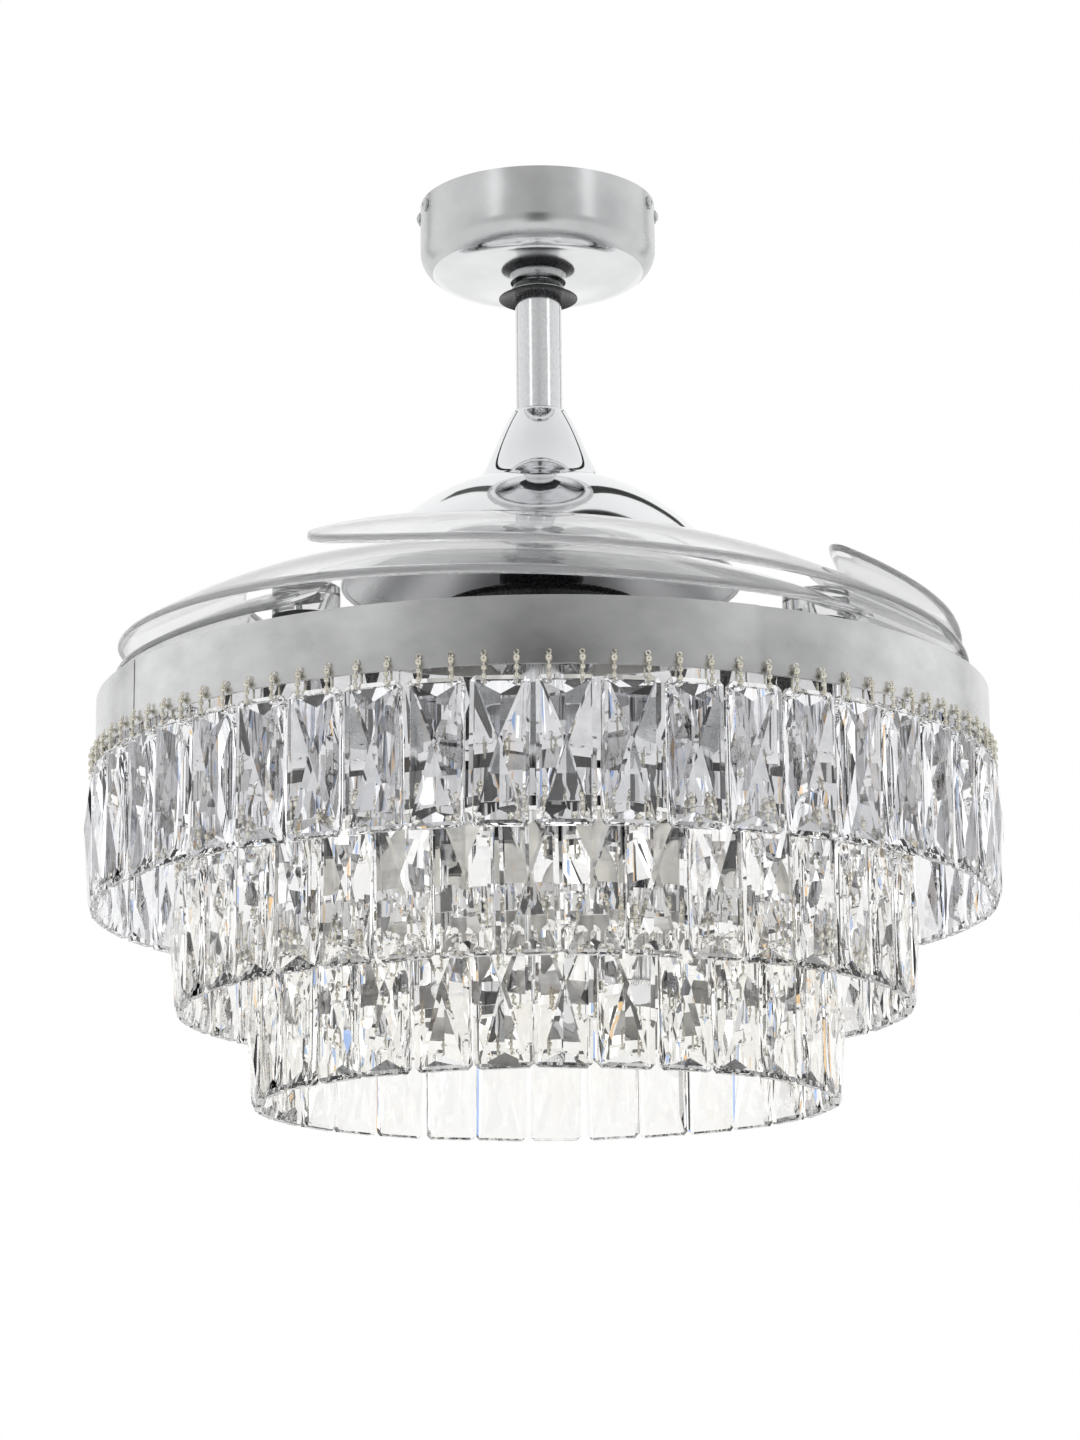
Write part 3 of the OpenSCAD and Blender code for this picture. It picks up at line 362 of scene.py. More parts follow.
def second_finish(made, material, chosen):
    """Gives the faces for which chosen(face) holds a second material."""
    made.data.materials.append(material)
    for face in made.data.polygons:
        if chosen(face):
            face.material_index = 1


def combined(name, base, cutter, operation):
    """Mesh of base with cutter joined or cut away."""
    first = bpy.data.objects.new(name, base)
    second = bpy.data.objects.new(name + "_tool", cutter)
    for one in (first, second):
        scene.collection.objects.link(one)
    change = first.modifiers.new("cut", "BOOLEAN")
    change.operation = operation
    change.solver = "EXACT"
    change.object = second
    result = bpy.data.meshes.new_from_object(
        first.evaluated_get(bpy.context.evaluated_depsgraph_get()))
    for one in (first, second):
        bpy.data.objects.remove(one)
    return result


# ---- Materials -------------------------------------------------------------------------

EVEN = (1, 1, 1)
NOISE_LOW, NOISE_HIGH = 0.3, 0.7
PLASTIC_RELIEF = 0.00002


def new_material(name):
    material = bpy.data.materials.new(name)
    material.use_nodes = True
    nodes = material.node_tree.nodes
    return material, nodes, material.node_tree.links, nodes["Principled BSDF"]


def grey(level):
    return (level, level, level, 1)


def coordinates(nodes, links, scale):
    """Object coordinates, multiplied by scale along each axis."""
    source = nodes.new("ShaderNodeTexCoord")
    mapping = nodes.new("ShaderNodeMapping")
    mapping.inputs["Scale"].default_value = scale
    links.new(source.outputs["Object"], mapping.inputs["Vector"])
    return mapping.outputs["Vector"]


def noise(nodes, links, vector, scale, detail):
    texture = nodes.new("ShaderNodeTexNoise")
    texture.inputs["Scale"].default_value = scale
    texture.inputs["Detail"].default_value = detail
    links.new(vector, texture.inputs["Vector"])
    return texture.outputs["Fac"]


def mapped(nodes, links, value, low, high):
    """The range that noise mostly keeps to, spread over low to high."""
    spread = nodes.new("ShaderNodeMapRange")
    spread.inputs["From Min"].default_value = NOISE_LOW
    spread.inputs["From Max"].default_value = NOISE_HIGH
    spread.inputs["To Min"].default_value = low
    spread.inputs["To Max"].default_value = high
    links.new(value, spread.inputs["Value"])
    return spread.outputs["Result"]


def two_colours(nodes, links, value, first, second):
    ramp = nodes.new("ShaderNodeValToRGB")
    ramp.color_ramp.elements[0].position = NOISE_LOW
    ramp.color_ramp.elements[1].position = NOISE_HIGH
    ramp.color_ramp.elements[0].color = (*first, 1)
    ramp.color_ramp.elements[1].color = (*second, 1)
    links.new(value, ramp.inputs["Fac"])
    return ramp.outputs["Color"]


def grey_ramp(nodes, stops):
    """A colour ramp through stops of (position, level)."""
    ramp = nodes.new("ShaderNodeValToRGB")
    elements = ramp.color_ramp.elements
    while len(elements) < len(stops):
        elements.new(0.5)
    for element, (position, level) in zip(elements, stops):
        element.position = position
        element.color = grey(level)
    return ramp


def bump(nodes, links, shader, value, distance):
    node = nodes.new("ShaderNodeBump")
    node.inputs["Strength"].default_value = 1
    node.inputs["Distance"].default_value = distance
    links.new(value, node.inputs["Height"])
    links.new(node.outputs["Normal"], shader.inputs["Normal"])


def metal(name, first, second, rough, scale=EVEN, grain=60, relief=0, detail=4):
    """Metal whose colour and roughness vary gently; scale stretches its grain."""
    material, nodes, links, shader = new_material(name)
    shader.inputs["Metallic"].default_value = 1
    value = noise(nodes, links, coordinates(nodes, links, scale), grain, detail)
    links.new(two_colours(nodes, links, value, first, second), shader.inputs["Base Color"])
    links.new(mapped(nodes, links, value, *rough), shader.inputs["Roughness"])
    if relief:
        bump(nodes, links, shader, value, relief)
    return material


def metal_with_painted_reflections(name, first, second, rough, scale, grain, detail, painted_reflection_tones):
    """Metal with painted reflections: darker and lighter zones painted round the Z axis; the
    tones are (degrees, level).
    """
    material, nodes, links, shader = new_material(name)
    shader.inputs["Metallic"].default_value = 1
    value = noise(nodes, links, coordinates(nodes, links, scale), grain, detail)
    # Painted reflections: a grey ramp round the Z axis darkens and lightens the metal's colour.
    source = nodes.new("ShaderNodeTexCoord")
    around = nodes.new("ShaderNodeTexGradient")
    around.gradient_type = "RADIAL"
    links.new(source.outputs["Object"], around.inputs["Vector"])
    ramp = grey_ramp(nodes, [(angle / 360 + 0.5, level) for angle, level in painted_reflection_tones])
    links.new(around.outputs["Fac"], ramp.inputs["Fac"])
    mix = nodes.new("ShaderNodeMix")
    mix.data_type = "RGBA"
    mix.blend_type = "MULTIPLY"
    mix.inputs["Factor"].default_value = 1
    links.new(two_colours(nodes, links, value, first, second), mix.inputs["A"])
    links.new(ramp.outputs["Color"], mix.inputs["B"])
    links.new(mix.outputs["Result"], shader.inputs["Base Color"])
    links.new(mapped(nodes, links, value, *rough), shader.inputs["Roughness"])
    return material


def plastic(name, first, second, rough, grain=400):
    material, nodes, links, shader = new_material(name)
    value = noise(nodes, links, coordinates(nodes, links, EVEN), grain, 4)
    links.new(two_colours(nodes, links, value, first, second), shader.inputs["Base Color"])
    links.new(mapped(nodes, links, value, *rough), shader.inputs["Roughness"])
    bump(nodes, links, shader, value, PLASTIC_RELIEF)
    return material


def glass(name, first, second, ior, rough, grain, clear=1):
    """A clear material; clear is the share of light that it lets through."""
    material, nodes, links, shader = new_material(name)
    shader.inputs["Transmission Weight"].default_value = clear
    shader.inputs["IOR"].default_value = ior
    value = noise(nodes, links, coordinates(nodes, links, EVEN), grain, 2)
    links.new(two_colours(nodes, links, value, first, second), shader.inputs["Base Color"])
    links.new(mapped(nodes, links, value, *rough), shader.inputs["Roughness"])
    return material


CHROME = metal("chrome", (0.80, 0.81, 0.82), (0.86, 0.87, 0.88), (0.03, 0.07), grain=25)
CANOPY_CHROME = metal("canopy_chrome", (0.54, 0.545, 0.55), (0.74, 0.745, 0.75), (0.24, 0.30),
                      grain=22, detail=3)
UNDERSIDE = metal("underside", (0.78, 0.785, 0.79), (0.88, 0.885, 0.89), (0.07, 0.13), grain=30)
SATIN = metal("satin_steel", (0.62, 0.625, 0.63), (0.68, 0.685, 0.69), (0.27, 0.36),
              scale=(1, 1, 10), relief=0.00001)
# Painted reflections on the ring: light and dark zones as (degrees round Z, level), with a dark
# band that starts at the seam.
RING_PAINTED_REFLECTIONS = ((-150.3, 1.0), (-138, 1.0), (-115, 0.72), (-95, 0.57), (-64.0, 0.66),
              (-63.8, 0.54), (-45, 0.92), (-25, 1.0))
RING_STEEL_PAINTED_REFLECTIONS = metal_with_painted_reflections("ring_steel_painted_reflections", (0.66, 0.665, 0.67), (0.83, 0.835, 0.84), (0.26, 0.32),
                         (1, 1, 1.5), 45, 5, RING_PAINTED_REFLECTIONS)
INNER_STEEL = metal("inner_steel", (0.84, 0.845, 0.85), (0.90, 0.90, 0.905), (0.26, 0.34),
                    grain=30)
HOOK_STEEL = metal("hook_steel", (0.60, 0.56, 0.46), (0.82, 0.80, 0.72), (0.08, 0.18), grain=300)
ROD_STEEL = metal("rod_steel", (0.70, 0.71, 0.72), (0.82, 0.82, 0.83), (0.10, 0.18),
                  scale=(1, 1, 0.5), grain=900, relief=0.00002)
ZINC = metal("zinc_steel", (0.55, 0.56, 0.57), (0.66, 0.67, 0.67), (0.22, 0.38), grain=160)
SPRING = metal("spring_steel", (0.42, 0.42, 0.43), (0.54, 0.54, 0.55), (0.25, 0.4), grain=500)
BEARING = metal("bearing_steel", (0.60, 0.61, 0.62), (0.70, 0.71, 0.72), (0.08, 0.18), grain=120)
MAGNET = metal("magnet", (0.20, 0.20, 0.21), (0.28, 0.28, 0.29), (0.5, 0.7), grain=300)
LAMINATION = metal("lamination", (0.30, 0.29, 0.28), (0.42, 0.41, 0.40), (0.4, 0.6),
                   scale=(1, 1, 60), grain=40, relief=0.00003)
COPPER = metal("copper_wire", (0.62, 0.30, 0.15), (0.80, 0.46, 0.27), (0.25, 0.4),
               scale=(1, 1, 25), relief=0.0001)
PAN_CHROME = metal("pan_chrome", (0.48, 0.48, 0.49), (0.76, 0.76, 0.77), (0.0, 0.02), grain=20)
BLACK_PAINT = plastic("black_paint", (0.012, 0.012, 0.014), (0.022, 0.022, 0.025), (0.22, 0.34),
                      grain=700)
BLACK_PLASTIC = plastic("black_plastic", (0.018, 0.018, 0.02), (0.03, 0.03, 0.033), (0.3, 0.42))
WHITE_PLASTIC = plastic("white_plastic", (0.80, 0.79, 0.74), (0.86, 0.85, 0.80), (0.35, 0.5))
RUBBER = plastic("rubber", (0.025, 0.025, 0.025), (0.045, 0.045, 0.045), (0.6, 0.8))
ACRYLIC = glass("clear_acrylic", (0.985, 0.99, 0.99), (0.995, 0.997, 0.998), 1.38, (0.0, 0.01),
                grain=12, clear=0.86)
CRYSTAL = glass("crystal", (0.97, 0.975, 0.99), (0.99, 0.99, 0.997), 1.56, (0.0, 0.004), grain=30)
# Crystal for rows 2 and 3: its warm tint is painted lamp glow.
CRYSTAL_PAINTED_GLOW = glass("crystal_painted_lamp_glow", (0.98, 0.972, 0.945), (0.995, 0.992, 0.982), 1.56,
                     (0.0, 0.004), grain=30)
LAMP_GLASS = glass("lamp_glass", (0.93, 0.92, 0.88), (0.97, 0.96, 0.93), 1.45, (0.25, 0.4),
                   grain=50)

FINISH = {
    "chrome": CHROME, "satin_steel": SATIN, "rod_steel": ROD_STEEL, "zinc_steel": ZINC,
    "spring_steel": SPRING, "bearing_steel": BEARING, "magnet": MAGNET, "lamination": LAMINATION,
    "copper_wire": COPPER, "black_paint": BLACK_PAINT, "black_plastic": BLACK_PLASTIC,
    "white_plastic": WHITE_PLASTIC, "rubber": RUBBER, "clear_acrylic": ACRYLIC,
    "lamp_glass": LAMP_GLASS, "crystal": CRYSTAL,
}
MIRROR_NODES = ("light_pan", "lamp_plate", "tier_frame_2", "tier_frame_3")


def finish_frame():
    """Gives every CAD node the material of its slot, and the nodes over the crystals a mirror."""
    for part in frame["record"]["subparts"]:
        node = frame["nodes"][part["node"]]
        node.data.materials.clear()
        finish = PAN_CHROME if part["node"] in MIRROR_NODES else FINISH[part["material_slot"]]
        node.data.materials.append(finish)


# ---- Canopy, rod and covers ------------------------------------------------------------


def make_canopy():
    flat_r = CANOPY_R - CANOPY_CORNER
    flat_z = CANOPY_BASE + CANOPY_DISH
    corner = (flat_r, flat_z + CANOPY_CORNER)
    bottom = curve([(flat_r, flat_z), (flat_r - CANOPY_DISH_PULL, flat_z),
                    (CANOPY_HOLE_R + CANOPY_DISH_PULL, CANOPY_BASE),
                    (CANOPY_HOLE_R, CANOPY_BASE)], steps=30)
    profile = [(CANOPY_R, 0)] + arc(*corner, CANOPY_CORNER, 0, -90, 24)[:-1] + bottom
    profile += [(r, z + COVER_WALL) for r, z in reversed(bottom)]
    profile += arc(*corner, CANOPY_CORNER - COVER_WALL, -90, 0, 24)[1:]
    profile.append((CANOPY_R - COVER_WALL, 0))
    shape = Shape().add(*lathe(profile, steps=192))
    shell = piece("canopy_shell", make_mesh("canopy_shell", shape), CANOPY_CHROME, "mount",
                  ["canopy"])
    underside_z = (flat_z + CANOPY_UNDERSIDE_H) * MM
    second_finish(shell, UNDERSIDE, lambda face: face.center.z < underside_z)


def screw_shape(head_r, head_h):
    """A pan-head screw with its seat at the origin, its head up and a recess in the head."""
    outline = [(0, -SCREW_LENGTH), (SCREW_SHAFT_R, -SCREW_LENGTH), (SCREW_SHAFT_R, 0),
               (head_r, 0), (head_r, head_h * SCREW_SHOULDER)]
    for a in (20, 40, 60):
        height = SCREW_SHOULDER + (1 - SCREW_SHOULDER) * sin(radians(a))
        outline.append((head_r * cos(radians(a)), head_h * height))
    outline += [(head_r * r, head_h * h) for r, h in SCREW_RECESS]
    return Shape().add(*solid_of_turn(outline, steps=32))


def knurled_screw():
    """A screw with a toothed washer under its domed head."""
    shape = screw_shape(*CANOPY_SCREW_HEAD)
    washer = []
    n = WASHER_TEETH * 2
    for i in range(n):
        a = 2 * pi * i / n
        r = WASHER_R[i % 2]
        washer.append((r * cos(a), r * sin(a)))
    points = [(x, y, z) for z in WASHER_Z for x, y in washer]
    faces = [list(reversed(range(n))), list(range(n, 2 * n))]
    faces += [[i, (i + 1) % n, n + (i + 1) % n, n + i] for i in range(n)]
    return shape.add(points, faces)


def make_canopy_screws():
    shape = Shape()
    one = knurled_screw()
    for angle in CANOPY_SCREWS:
        place = turn(angle) @ shift(CANOPY_R, 0, CANOPY_SCREW_Z) @ turn(90, "Y")
        shape.add(one.points, one.faces, place)
    piece("canopy_screw_set", make_mesh("canopy_screw_set", shape), ZINC, "mount",
          ["canopy_screws"])


def make_collar():
    """A black cup that opens downwards, and the steel cone above it."""
    inner = ROD_R + BORE_PLAY
    bore, rim = (inner, collar_low.z), (collar_high.x, collar_low.z)
    joint = collar_low.z + CUP_H
    cup = curve(near(bore, *CUP_HOLLOW_BORE) + near(rim, *CUP_HOLLOW_RIM), steps=10)
    cup += arc(rim[0] - CUP_LIP_R, rim[1] + CUP_LIP_R, CUP_LIP_R, -40, 60, 4)
    cup += curve(near(rim, *CUP_BACK_RIM) + near(bore, *CUP_BACK_BORE), steps=10)
    cup.append((inner, joint))
    shape = Shape().add(*lathe(cup, steps=128))
    piece("collar_cup", make_mesh("collar_cup", shape), BLACK_PAINT, "hanging_column",
          ["rod_collar"])
    cone = near((inner, joint), *CONE_FOOT) + near((inner, collar_high.z), *CONE_TIP)
    shape = Shape().add(*lathe(cone, steps=128))
    piece("collar_cone", make_mesh("collar_cone", shape), ZINC, "hanging_column",
          ["rod_collar"])


def make_rod():
    profile = [(ROD_R, rod_low.z + ROD_SOFT), (ROD_R, rod_high.z - ROD_SOFT),
               (ROD_R - ROD_SOFT, rod_high.z), (ROD_R - ROD_WALL, rod_high.z),
               (ROD_R - ROD_WALL, rod_low.z), (ROD_R - ROD_SOFT, rod_low.z)]
    shape = Shape().add(*lathe(profile, steps=128))
    piece("rod_tube", make_mesh("rod_tube", shape), ROD_STEEL, "hanging_column",
          ["downrod"])


def make_bell():
    top = (BELL_TOP_R, bell_high.z - BELL_ROUND)
    foot = (bell_high.x, bell_low.z)
    controls = [top] + near(top, BELL_TOP_PULL) + near(foot, BELL_FOOT_PULL) + [foot]
    side = curve(controls, steps=48)
    bore = ROD_R + BORE_PLAY
    profile = [(bore, bell_high.z)]
    profile += arc(top[0] - BELL_ROUND, top[1], BELL_ROUND, 90, 0, 6)[:-1] + side
    profile += [(r - COVER_WALL, z) for r, z in reversed(side)]
    profile.append((bore, bell_high.z - BELL_TOP_T))
    shape = Shape().add(*lathe(profile, steps=160))
    piece("bell", make_mesh("bell", shape), CHROME, "hanging_column", ["bell_cover"])


def dome_side(steps):
    """Outline of the dome from the bell's foot to its own rim."""
    seat, rim = (DOME_SEAT_R, DOME_TOP), (DOME_RIM_R, DOME_RIM)
    return curve([seat] + near(seat, DOME_SEAT_PULL) + near(rim, DOME_RIM_PULL) + [rim], steps)


def make_dome():
    side = dome_side(steps=60)
    inner = [(r - DOME_WALL_STEP, z - DOME_WALL_STEP) for r, z in reversed(side)]
    profile = [(DOME_HOLE_R, DOME_TOP)] + side + inner + [(DOME_HOLE_R, DOME_TOP - COVER_WALL)]
    shape = Shape().add(*lathe(profile, steps=224))
    roll = arc(DOME_RIM_R - DOME_ROLL_IN, DOME_RIM, DOME_ROLL_R, 0, DOME_ROLL_SWEEP, 17)
    shape.add(*lathe(roll, steps=224))
    dome = piece("dome", make_mesh("dome", shape), CHROME, "hanging_column",
                 ["dome_cover"])
    second_finish(dome, INNER_STEEL, lambda face: face.normal.z < DOME_INSIDE_NORMAL)


def make_dome_screws():
    i, steps = DOME_SCREW_AT
    upper, lower = dome_side(steps)[i:i + 2]
    at = ((upper[0] + lower[0]) / 2, (upper[1] + lower[1]) / 2)
    lean = degrees(atan2(upper[1] - lower[1], lower[0] - upper[0]))
    one = screw_shape(*DOME_SCREW_HEAD)
    shape = Shape()
    for angle in (0, 180):
        place = turn(angle) @ shift(at[0], 0, at[1]) @ turn(lean, "Y")
        shape.add(one.points, one.faces, place @ shift(0, 0, DOME_SCREW_LIFT))
    piece("dome_screw_pair", make_mesh("dome_screw_pair", shape), CHROME, "hanging_column",
          ["dome_screws"])


# ---- Blades ----------------------------------------------------------------------------


def eased(t):
    """0 to 1 with a soft start and end."""
    u = min(1, max(0, t))
    return u * u * (3 - 2 * u)


def half_width(s):
    """Half the width of a blade, s degrees from its root."""
    full = ROOT_HALF_W + (BLADE_W / 2 - ROOT_HALF_W) * eased(s / ROOT_TAPER)
    root = sqrt(max(END_LEAST, 1 - (1 - s / ROOT_ROUND) ** 2)) if s < ROOT_ROUND else 1
    taper = 1 - TIP_TAPER * eased((s - BLADE_ARC + TAPER_ARC) / TAPER_ARC)
    past = s - (BLADE_ARC - TIP_ROUND)
    tip = sqrt(max(END_LEAST, 1 - (past / TIP_ROUND) ** 2)) if past > 0 else 1
    return full * root * taper * tip


def blade_z(s, r):
    """Height of the middle of a blade's sheet, s degrees from its root and at radius r."""
    v = (r - BLADE_MID) / (BLADE_W / 2)
    lift = max(0, s - (BLADE_ARC - LIFT_ARC)) / LIFT_ARC
    slope = (BLADE_OUTER - r) * tan(radians(BLADE_LEAN))
    camber = BLADE_CAMBER * (1 - v * v)
    return BLADE_EDGE_Z + BLADE_RISE * s + slope + camber + TIP_LIFT * lift * lift


def blade_stations(at_end=16, between=110):
    """Places along a blade, closer together at its round ends."""
    angles = [radians(90 * i / at_end) for i in range(at_end + 1)]
    flat = BLADE_ARC - TIP_ROUND - ROOT_ROUND
    stations = [ROOT_ROUND * (1 - cos(a)) for a in angles]
    stations += [ROOT_ROUND + flat * i / between for i in range(1, between + 1)]
    stations += [BLADE_ARC - TIP_ROUND + TIP_ROUND * sin(a) for a in angles[1:]]
    return stations


def blade_section(s, parts=12):
    """Outline of a blade across its sheet, with round edges and a thick bar at its root."""
    half_t = BLADE_T / 2 / cos(radians(BLADE_LEAN))
    w = half_width(s)
    width = 2 * w
    across = [d / BLADE_T * min(BLADE_T, width / 2) for d in EDGE_PLACES]
    across += [across[-1] + (width - 2 * across[-1]) * i / parts for i in range(1, parts)]
    across += [width - d for d in reversed(across[:len(EDGE_PLACES)])]
    row = []
    for d in across:
        edge = min(d, width - d)
        lift = sqrt(max(0, 1 - (1 - min(1, edge / (BLADE_T / 2))) ** 2))
        r = BLADE_MID - w + d
        z = blade_z(s, r)
        side = eased(abs(d / w - 1) * ROOT_BAR_NARROW)
        bar = ROOT_BAR * (1 - eased(s / ROOT_BAR_ARC)) * (1 - side)
        row.append((r, z + half_t * lift, z - half_t * lift - bar))
    return [(r, top) for r, top, _ in row] + [(r, low) for r, _, low in reversed(row[1:-1])]


def blade_sheet():
    """A blade's curved sheet, from section to section."""
    shape = Shape()
    stations = blade_stations()
    for s in stations:
        section = blade_section(s)
        a = radians(-s)
        shape.points += [(r * cos(a), r * sin(a), z) for r, z in section]
    around = len(section)
    for i in range(len(stations) - 1):
        here, there = i * around, (i + 1) * around
        for k in range(around):
            m = (k + 1) % around
            shape.faces.append([here + k, here + m, there + m, there + k])
    last = (len(stations) - 1) * around
    shape.faces.append(list(reversed(range(around))))
    shape.faces.append([last + k for k in range(around)])
    return shape


def make_blades():
    sheet = make_mesh("blade_sheet", blade_sheet())
    top = blade_z(PIVOT_S, PIVOT_R) + BOSS_RISE
    boss = Shape()
    boss.add(*solid_of_turn([(0, BOSS_Z), (BOSS_R - BOSS_SOFT, BOSS_Z),
                             (BOSS_R, BOSS_Z + BOSS_SOFT), (BOSS_R, top - BOSS_SOFT),
                             (BOSS_R - BOSS_SOFT, top), (0, top)], steps=64),
             turn(-PIVOT_S) @ shift(PIVOT_R, 0, 0))
    whole = combined("blade", sheet, make_mesh("boss", boss), "UNION")
    whole.polygons.foreach_set("use_smooth", [True] * len(whole.polygons))
    whole.set_sharp_from_angle(angle=radians(BLADE_SHARP))
    for i in range(BLADE_COUNT):
        mesh = whole.copy()
        mesh.transform(turn(BLADE_ROOT + i * 360 / BLADE_COUNT))
        mesh.materials.clear()
        number = str(i + 1)
        piece("clear_blade_" + number, mesh, ACRYLIC, "blade_arm_" + number,
              ["blade_" + number])


# ---- Ring, hooks and crystals ----------------------------------------------------------


def tier_count(r):
    """How many crystals hang on a row of that radius."""
    return floor(2 * pi * r / (CRYSTAL_W + CRYSTAL_GAP))


def crystal_angle(i, number):
    return (i + 0.5) * 360 / tier_count(TIER_R[number - 1]) - 90 + TIER_TURN[number - 1]


def crystal_shape():
    """A crystal hung from its top edge: four facets outside, eight on the face inside."""
    w, c, edge = CRYSTAL_W / 2, CORNER_CUT, CRYSTAL_EDGE / 2
    outline = [(w, -c), (w - c, 0), (c - w, 0), (-w, -c),
               (-w, c - CRYSTAL_H), (c - w, -CRYSTAL_H), (w - c, -CRYSTAL_H), (w, c - CRYSTAL_H)]
    inner = w - STRIP_W
    strip = [(inner, -c), (-inner, -c), (-inner, c - CRYSTAL_H), (inner, c - CRYSTAL_H)]
    apex_z = -APEX_DROP * CRYSTAL_H
    points = []
    for side in (1, -1):
        points += [(side * edge, y, z) for y, z in outline]
        points += [(side * (edge + STRIP_RISE), y, z) for y, z in strip]
        points.append((side * CRYSTAL_DEPTH / 2, 0, apex_z))
    half = len(points) // 2
    top_end, low_end = len(points), len(points) + 1
    points += [(-END_DEPTH, 0, -END_RISE), (-END_DEPTH, 0, END_RISE - CRYSTAL_H)]
    faces = []
    for base, inside in ((0, False), (half, True)):
        right_top, left_top, left_low, right_low, apex = range(base + 8, base + half)
        o = range(base, base + 8)
        found = [[o[7], o[0], right_top, right_low], [o[3], o[4], left_low, left_top],
                 [o[0], o[1], right_top], [o[2], o[3], left_top],
                 [o[4], o[5], left_low], [o[6], o[7], right_low],
                 [o[1], o[2], left_top, right_top], [o[5], o[6], right_low, left_low],
                 [left_top, left_low, apex], [right_low, right_top, apex]]
        if inside:
            found += [[right_top, left_top, top_end], [right_top, top_end, apex],
                      [top_end, left_top, apex], [left_low, right_low, low_end],
                      [left_low, low_end, apex], [low_end, right_low, apex]]
        else:
            found += [[right_top, left_top, apex], [left_low, right_low, apex]]
        faces += [list(reversed(face)) if inside else face for face in found]
    faces += [[(i + 1) % 8, i, half + i, half + (i + 1) % 8] for i in range(8)]
    return Shape().add(points, faces)


def crystal_mesh():
    holes = Shape()
    for side in (-1, 1):
        drill = solid_of_turn([(0, -CRYSTAL_DEPTH), (CRYSTAL_HOLE_R, -CRYSTAL_DEPTH),
                               (CRYSTAL_HOLE_R, CRYSTAL_DEPTH), (0, CRYSTAL_DEPTH)], steps=16)
        holes.add(*drill, shift(0, side * HOOK_SPACING / 2, -HOLE_DROP) @ turn(90, "Y"))
    return combined("crystal", make_mesh("crystal", crystal_shape(), sharp=0),
                    make_mesh("crystal_holes", holes, sharp=0), "DIFFERENCE")


def crystal_row(number):
    """All crystals of a row as one mesh, each hanging a little differently."""
    one = crystal_mesh()
    points = [v.co / MM for v in one.vertices]
    faces = [list(p.vertices) for p in one.polygons]
    r, base = TIER_R[number - 1], TIER_BASE[number - 1]
    draw = random.Random(CRYSTAL_SEED + number)
    shape = Shape()
    for i in range(tier_count(r)):
        sway = (turn(draw.uniform(-CRYSTAL_SWAY, CRYSTAL_SWAY), "X")
                @ turn(draw.uniform(-CRYSTAL_TWIST, CRYSTAL_TWIST), "Z"))
        hang = shift(0, 0, -HOLE_DROP) @ sway @ shift(0, 0, HOLE_DROP)
        place = turn(crystal_angle(i, number)) @ shift(r, 0, base - HOOK_GAP) @ hang
        shape.add(points, faces, place)
    name = "crystal_row_" + str(number)
    # Rows 2 and 3 take the crystal whose warm tint is painted lamp glow.
    tint = CRYSTAL if number == 1 else CRYSTAL_PAINTED_GLOW
    piece(name, make_mesh(name, shape, sharp=0), tint, "hanging_column",
          ["crystals_" + str(number)])


def hook_shape():
    """A long wire link with three beads and a small eye above it, in the plane of X and Z."""
    top, low = HOOK_RISE, -HOOK_GAP - HOLE_DROP
    path = arc(0, top - LINK_R, LINK_R, 0, 180, 10) + arc(0, low + LINK_R, LINK_R, 180, 360, 10)
    shape = Shape().add(*wire_loop([(x, 0, z) for x, z in path], WIRE_R, sides=8))
    for x, z, radius, stretch in BEADS:
        shape.add(*bead(radius, stretch), shift(x, 0, z))
    angles = [2 * pi * i / EYE_STEPS for i in range(EYE_STEPS)]
    eye = [(EYE_X, EYE_R * cos(a), EYE_Z + EYE_R * sin(a)) for a in angles]
    return shape.add(*wire_loop(eye, EYE_WIRE_R, sides=6))


def hook_row(number):
    """The hooks of a row, two for each crystal; row 1 stands for the CAD hooks of all rows."""
    r, base = TIER_R[number - 1], TIER_BASE[number - 1]
    one = hook_shape()
    draw = random.Random(HOOK_SEED + number)
    shape = Shape()
    for i in range(tier_count(r)):
        for side in (-1, 1):
            angle = crystal_angle(i, number) + side * degrees(asin(HOOK_SPACING / 2 / r))
            twist = turn(draw.uniform(-HOOK_TWIST, HOOK_TWIST))
            shape.add(one.points, one.faces, turn(angle) @ shift(r, 0, base) @ twist)
    name = "hook_row_" + str(number)
    replaced = ["crystal_hooks"] if number == 1 else []
    piece(name, make_mesh(name, shape, sharp=50), HOOK_STEEL, "hanging_column", replaced)


def make_ring():
    """Two bent strips that meet at the seams, each a little dented at its start."""
    profile = [(RING_R, RING_BASE + RING_SOFT)]
    profile += arc(RING_R - RING_SOFT, RING_TOP - RING_SOFT, RING_SOFT, 0, 90, 4)
    profile += [(RING_R - RING_LIP, RING_TOP), (RING_R - RING_LIP, RING_TOP - RING_WALL),
                (RING_R - RING_WALL, RING_TOP - RING_WALL), (RING_R - RING_WALL, RING_BASE),
                (RING_R - RING_SOFT, RING_BASE)]
    shape = Shape()
    for start, end, depth in ((SEAMS[0], SEAMS[1], SEAM_DENTS[0]),
                              (SEAMS[1], SEAMS[0] + 360, SEAM_DENTS[1])):
        steps = round(end - start)
        points, faces = lathe(profile, steps, start + SEAM_GAP, end - start - 2 * SEAM_GAP)
        for i, (x, y, z) in enumerate(points):
            past = (i // len(profile)) * (end - start) / steps
            dent = 1 - depth * exp(-past / SEAM_REACH) / RING_R
            points[i] = (x * dent, y * dent, z)
        shape.add(points, faces)
    # The ring's steel carries painted reflections round its axis.
    ring = piece("metal_ring", make_mesh("metal_ring", shape), RING_STEEL_PAINTED_REFLECTIONS, "hanging_column",
                 ["ring_band"])
    level = Vector((1, 1, 0))
    second_finish(ring, PAN_CHROME, lambda face: face.normal.dot(face.center * level) < 0)


# ---- Studio, in metres and degrees -----------------------------------------------------
# Azimuths count from the camera's side of the fan, towards the right.

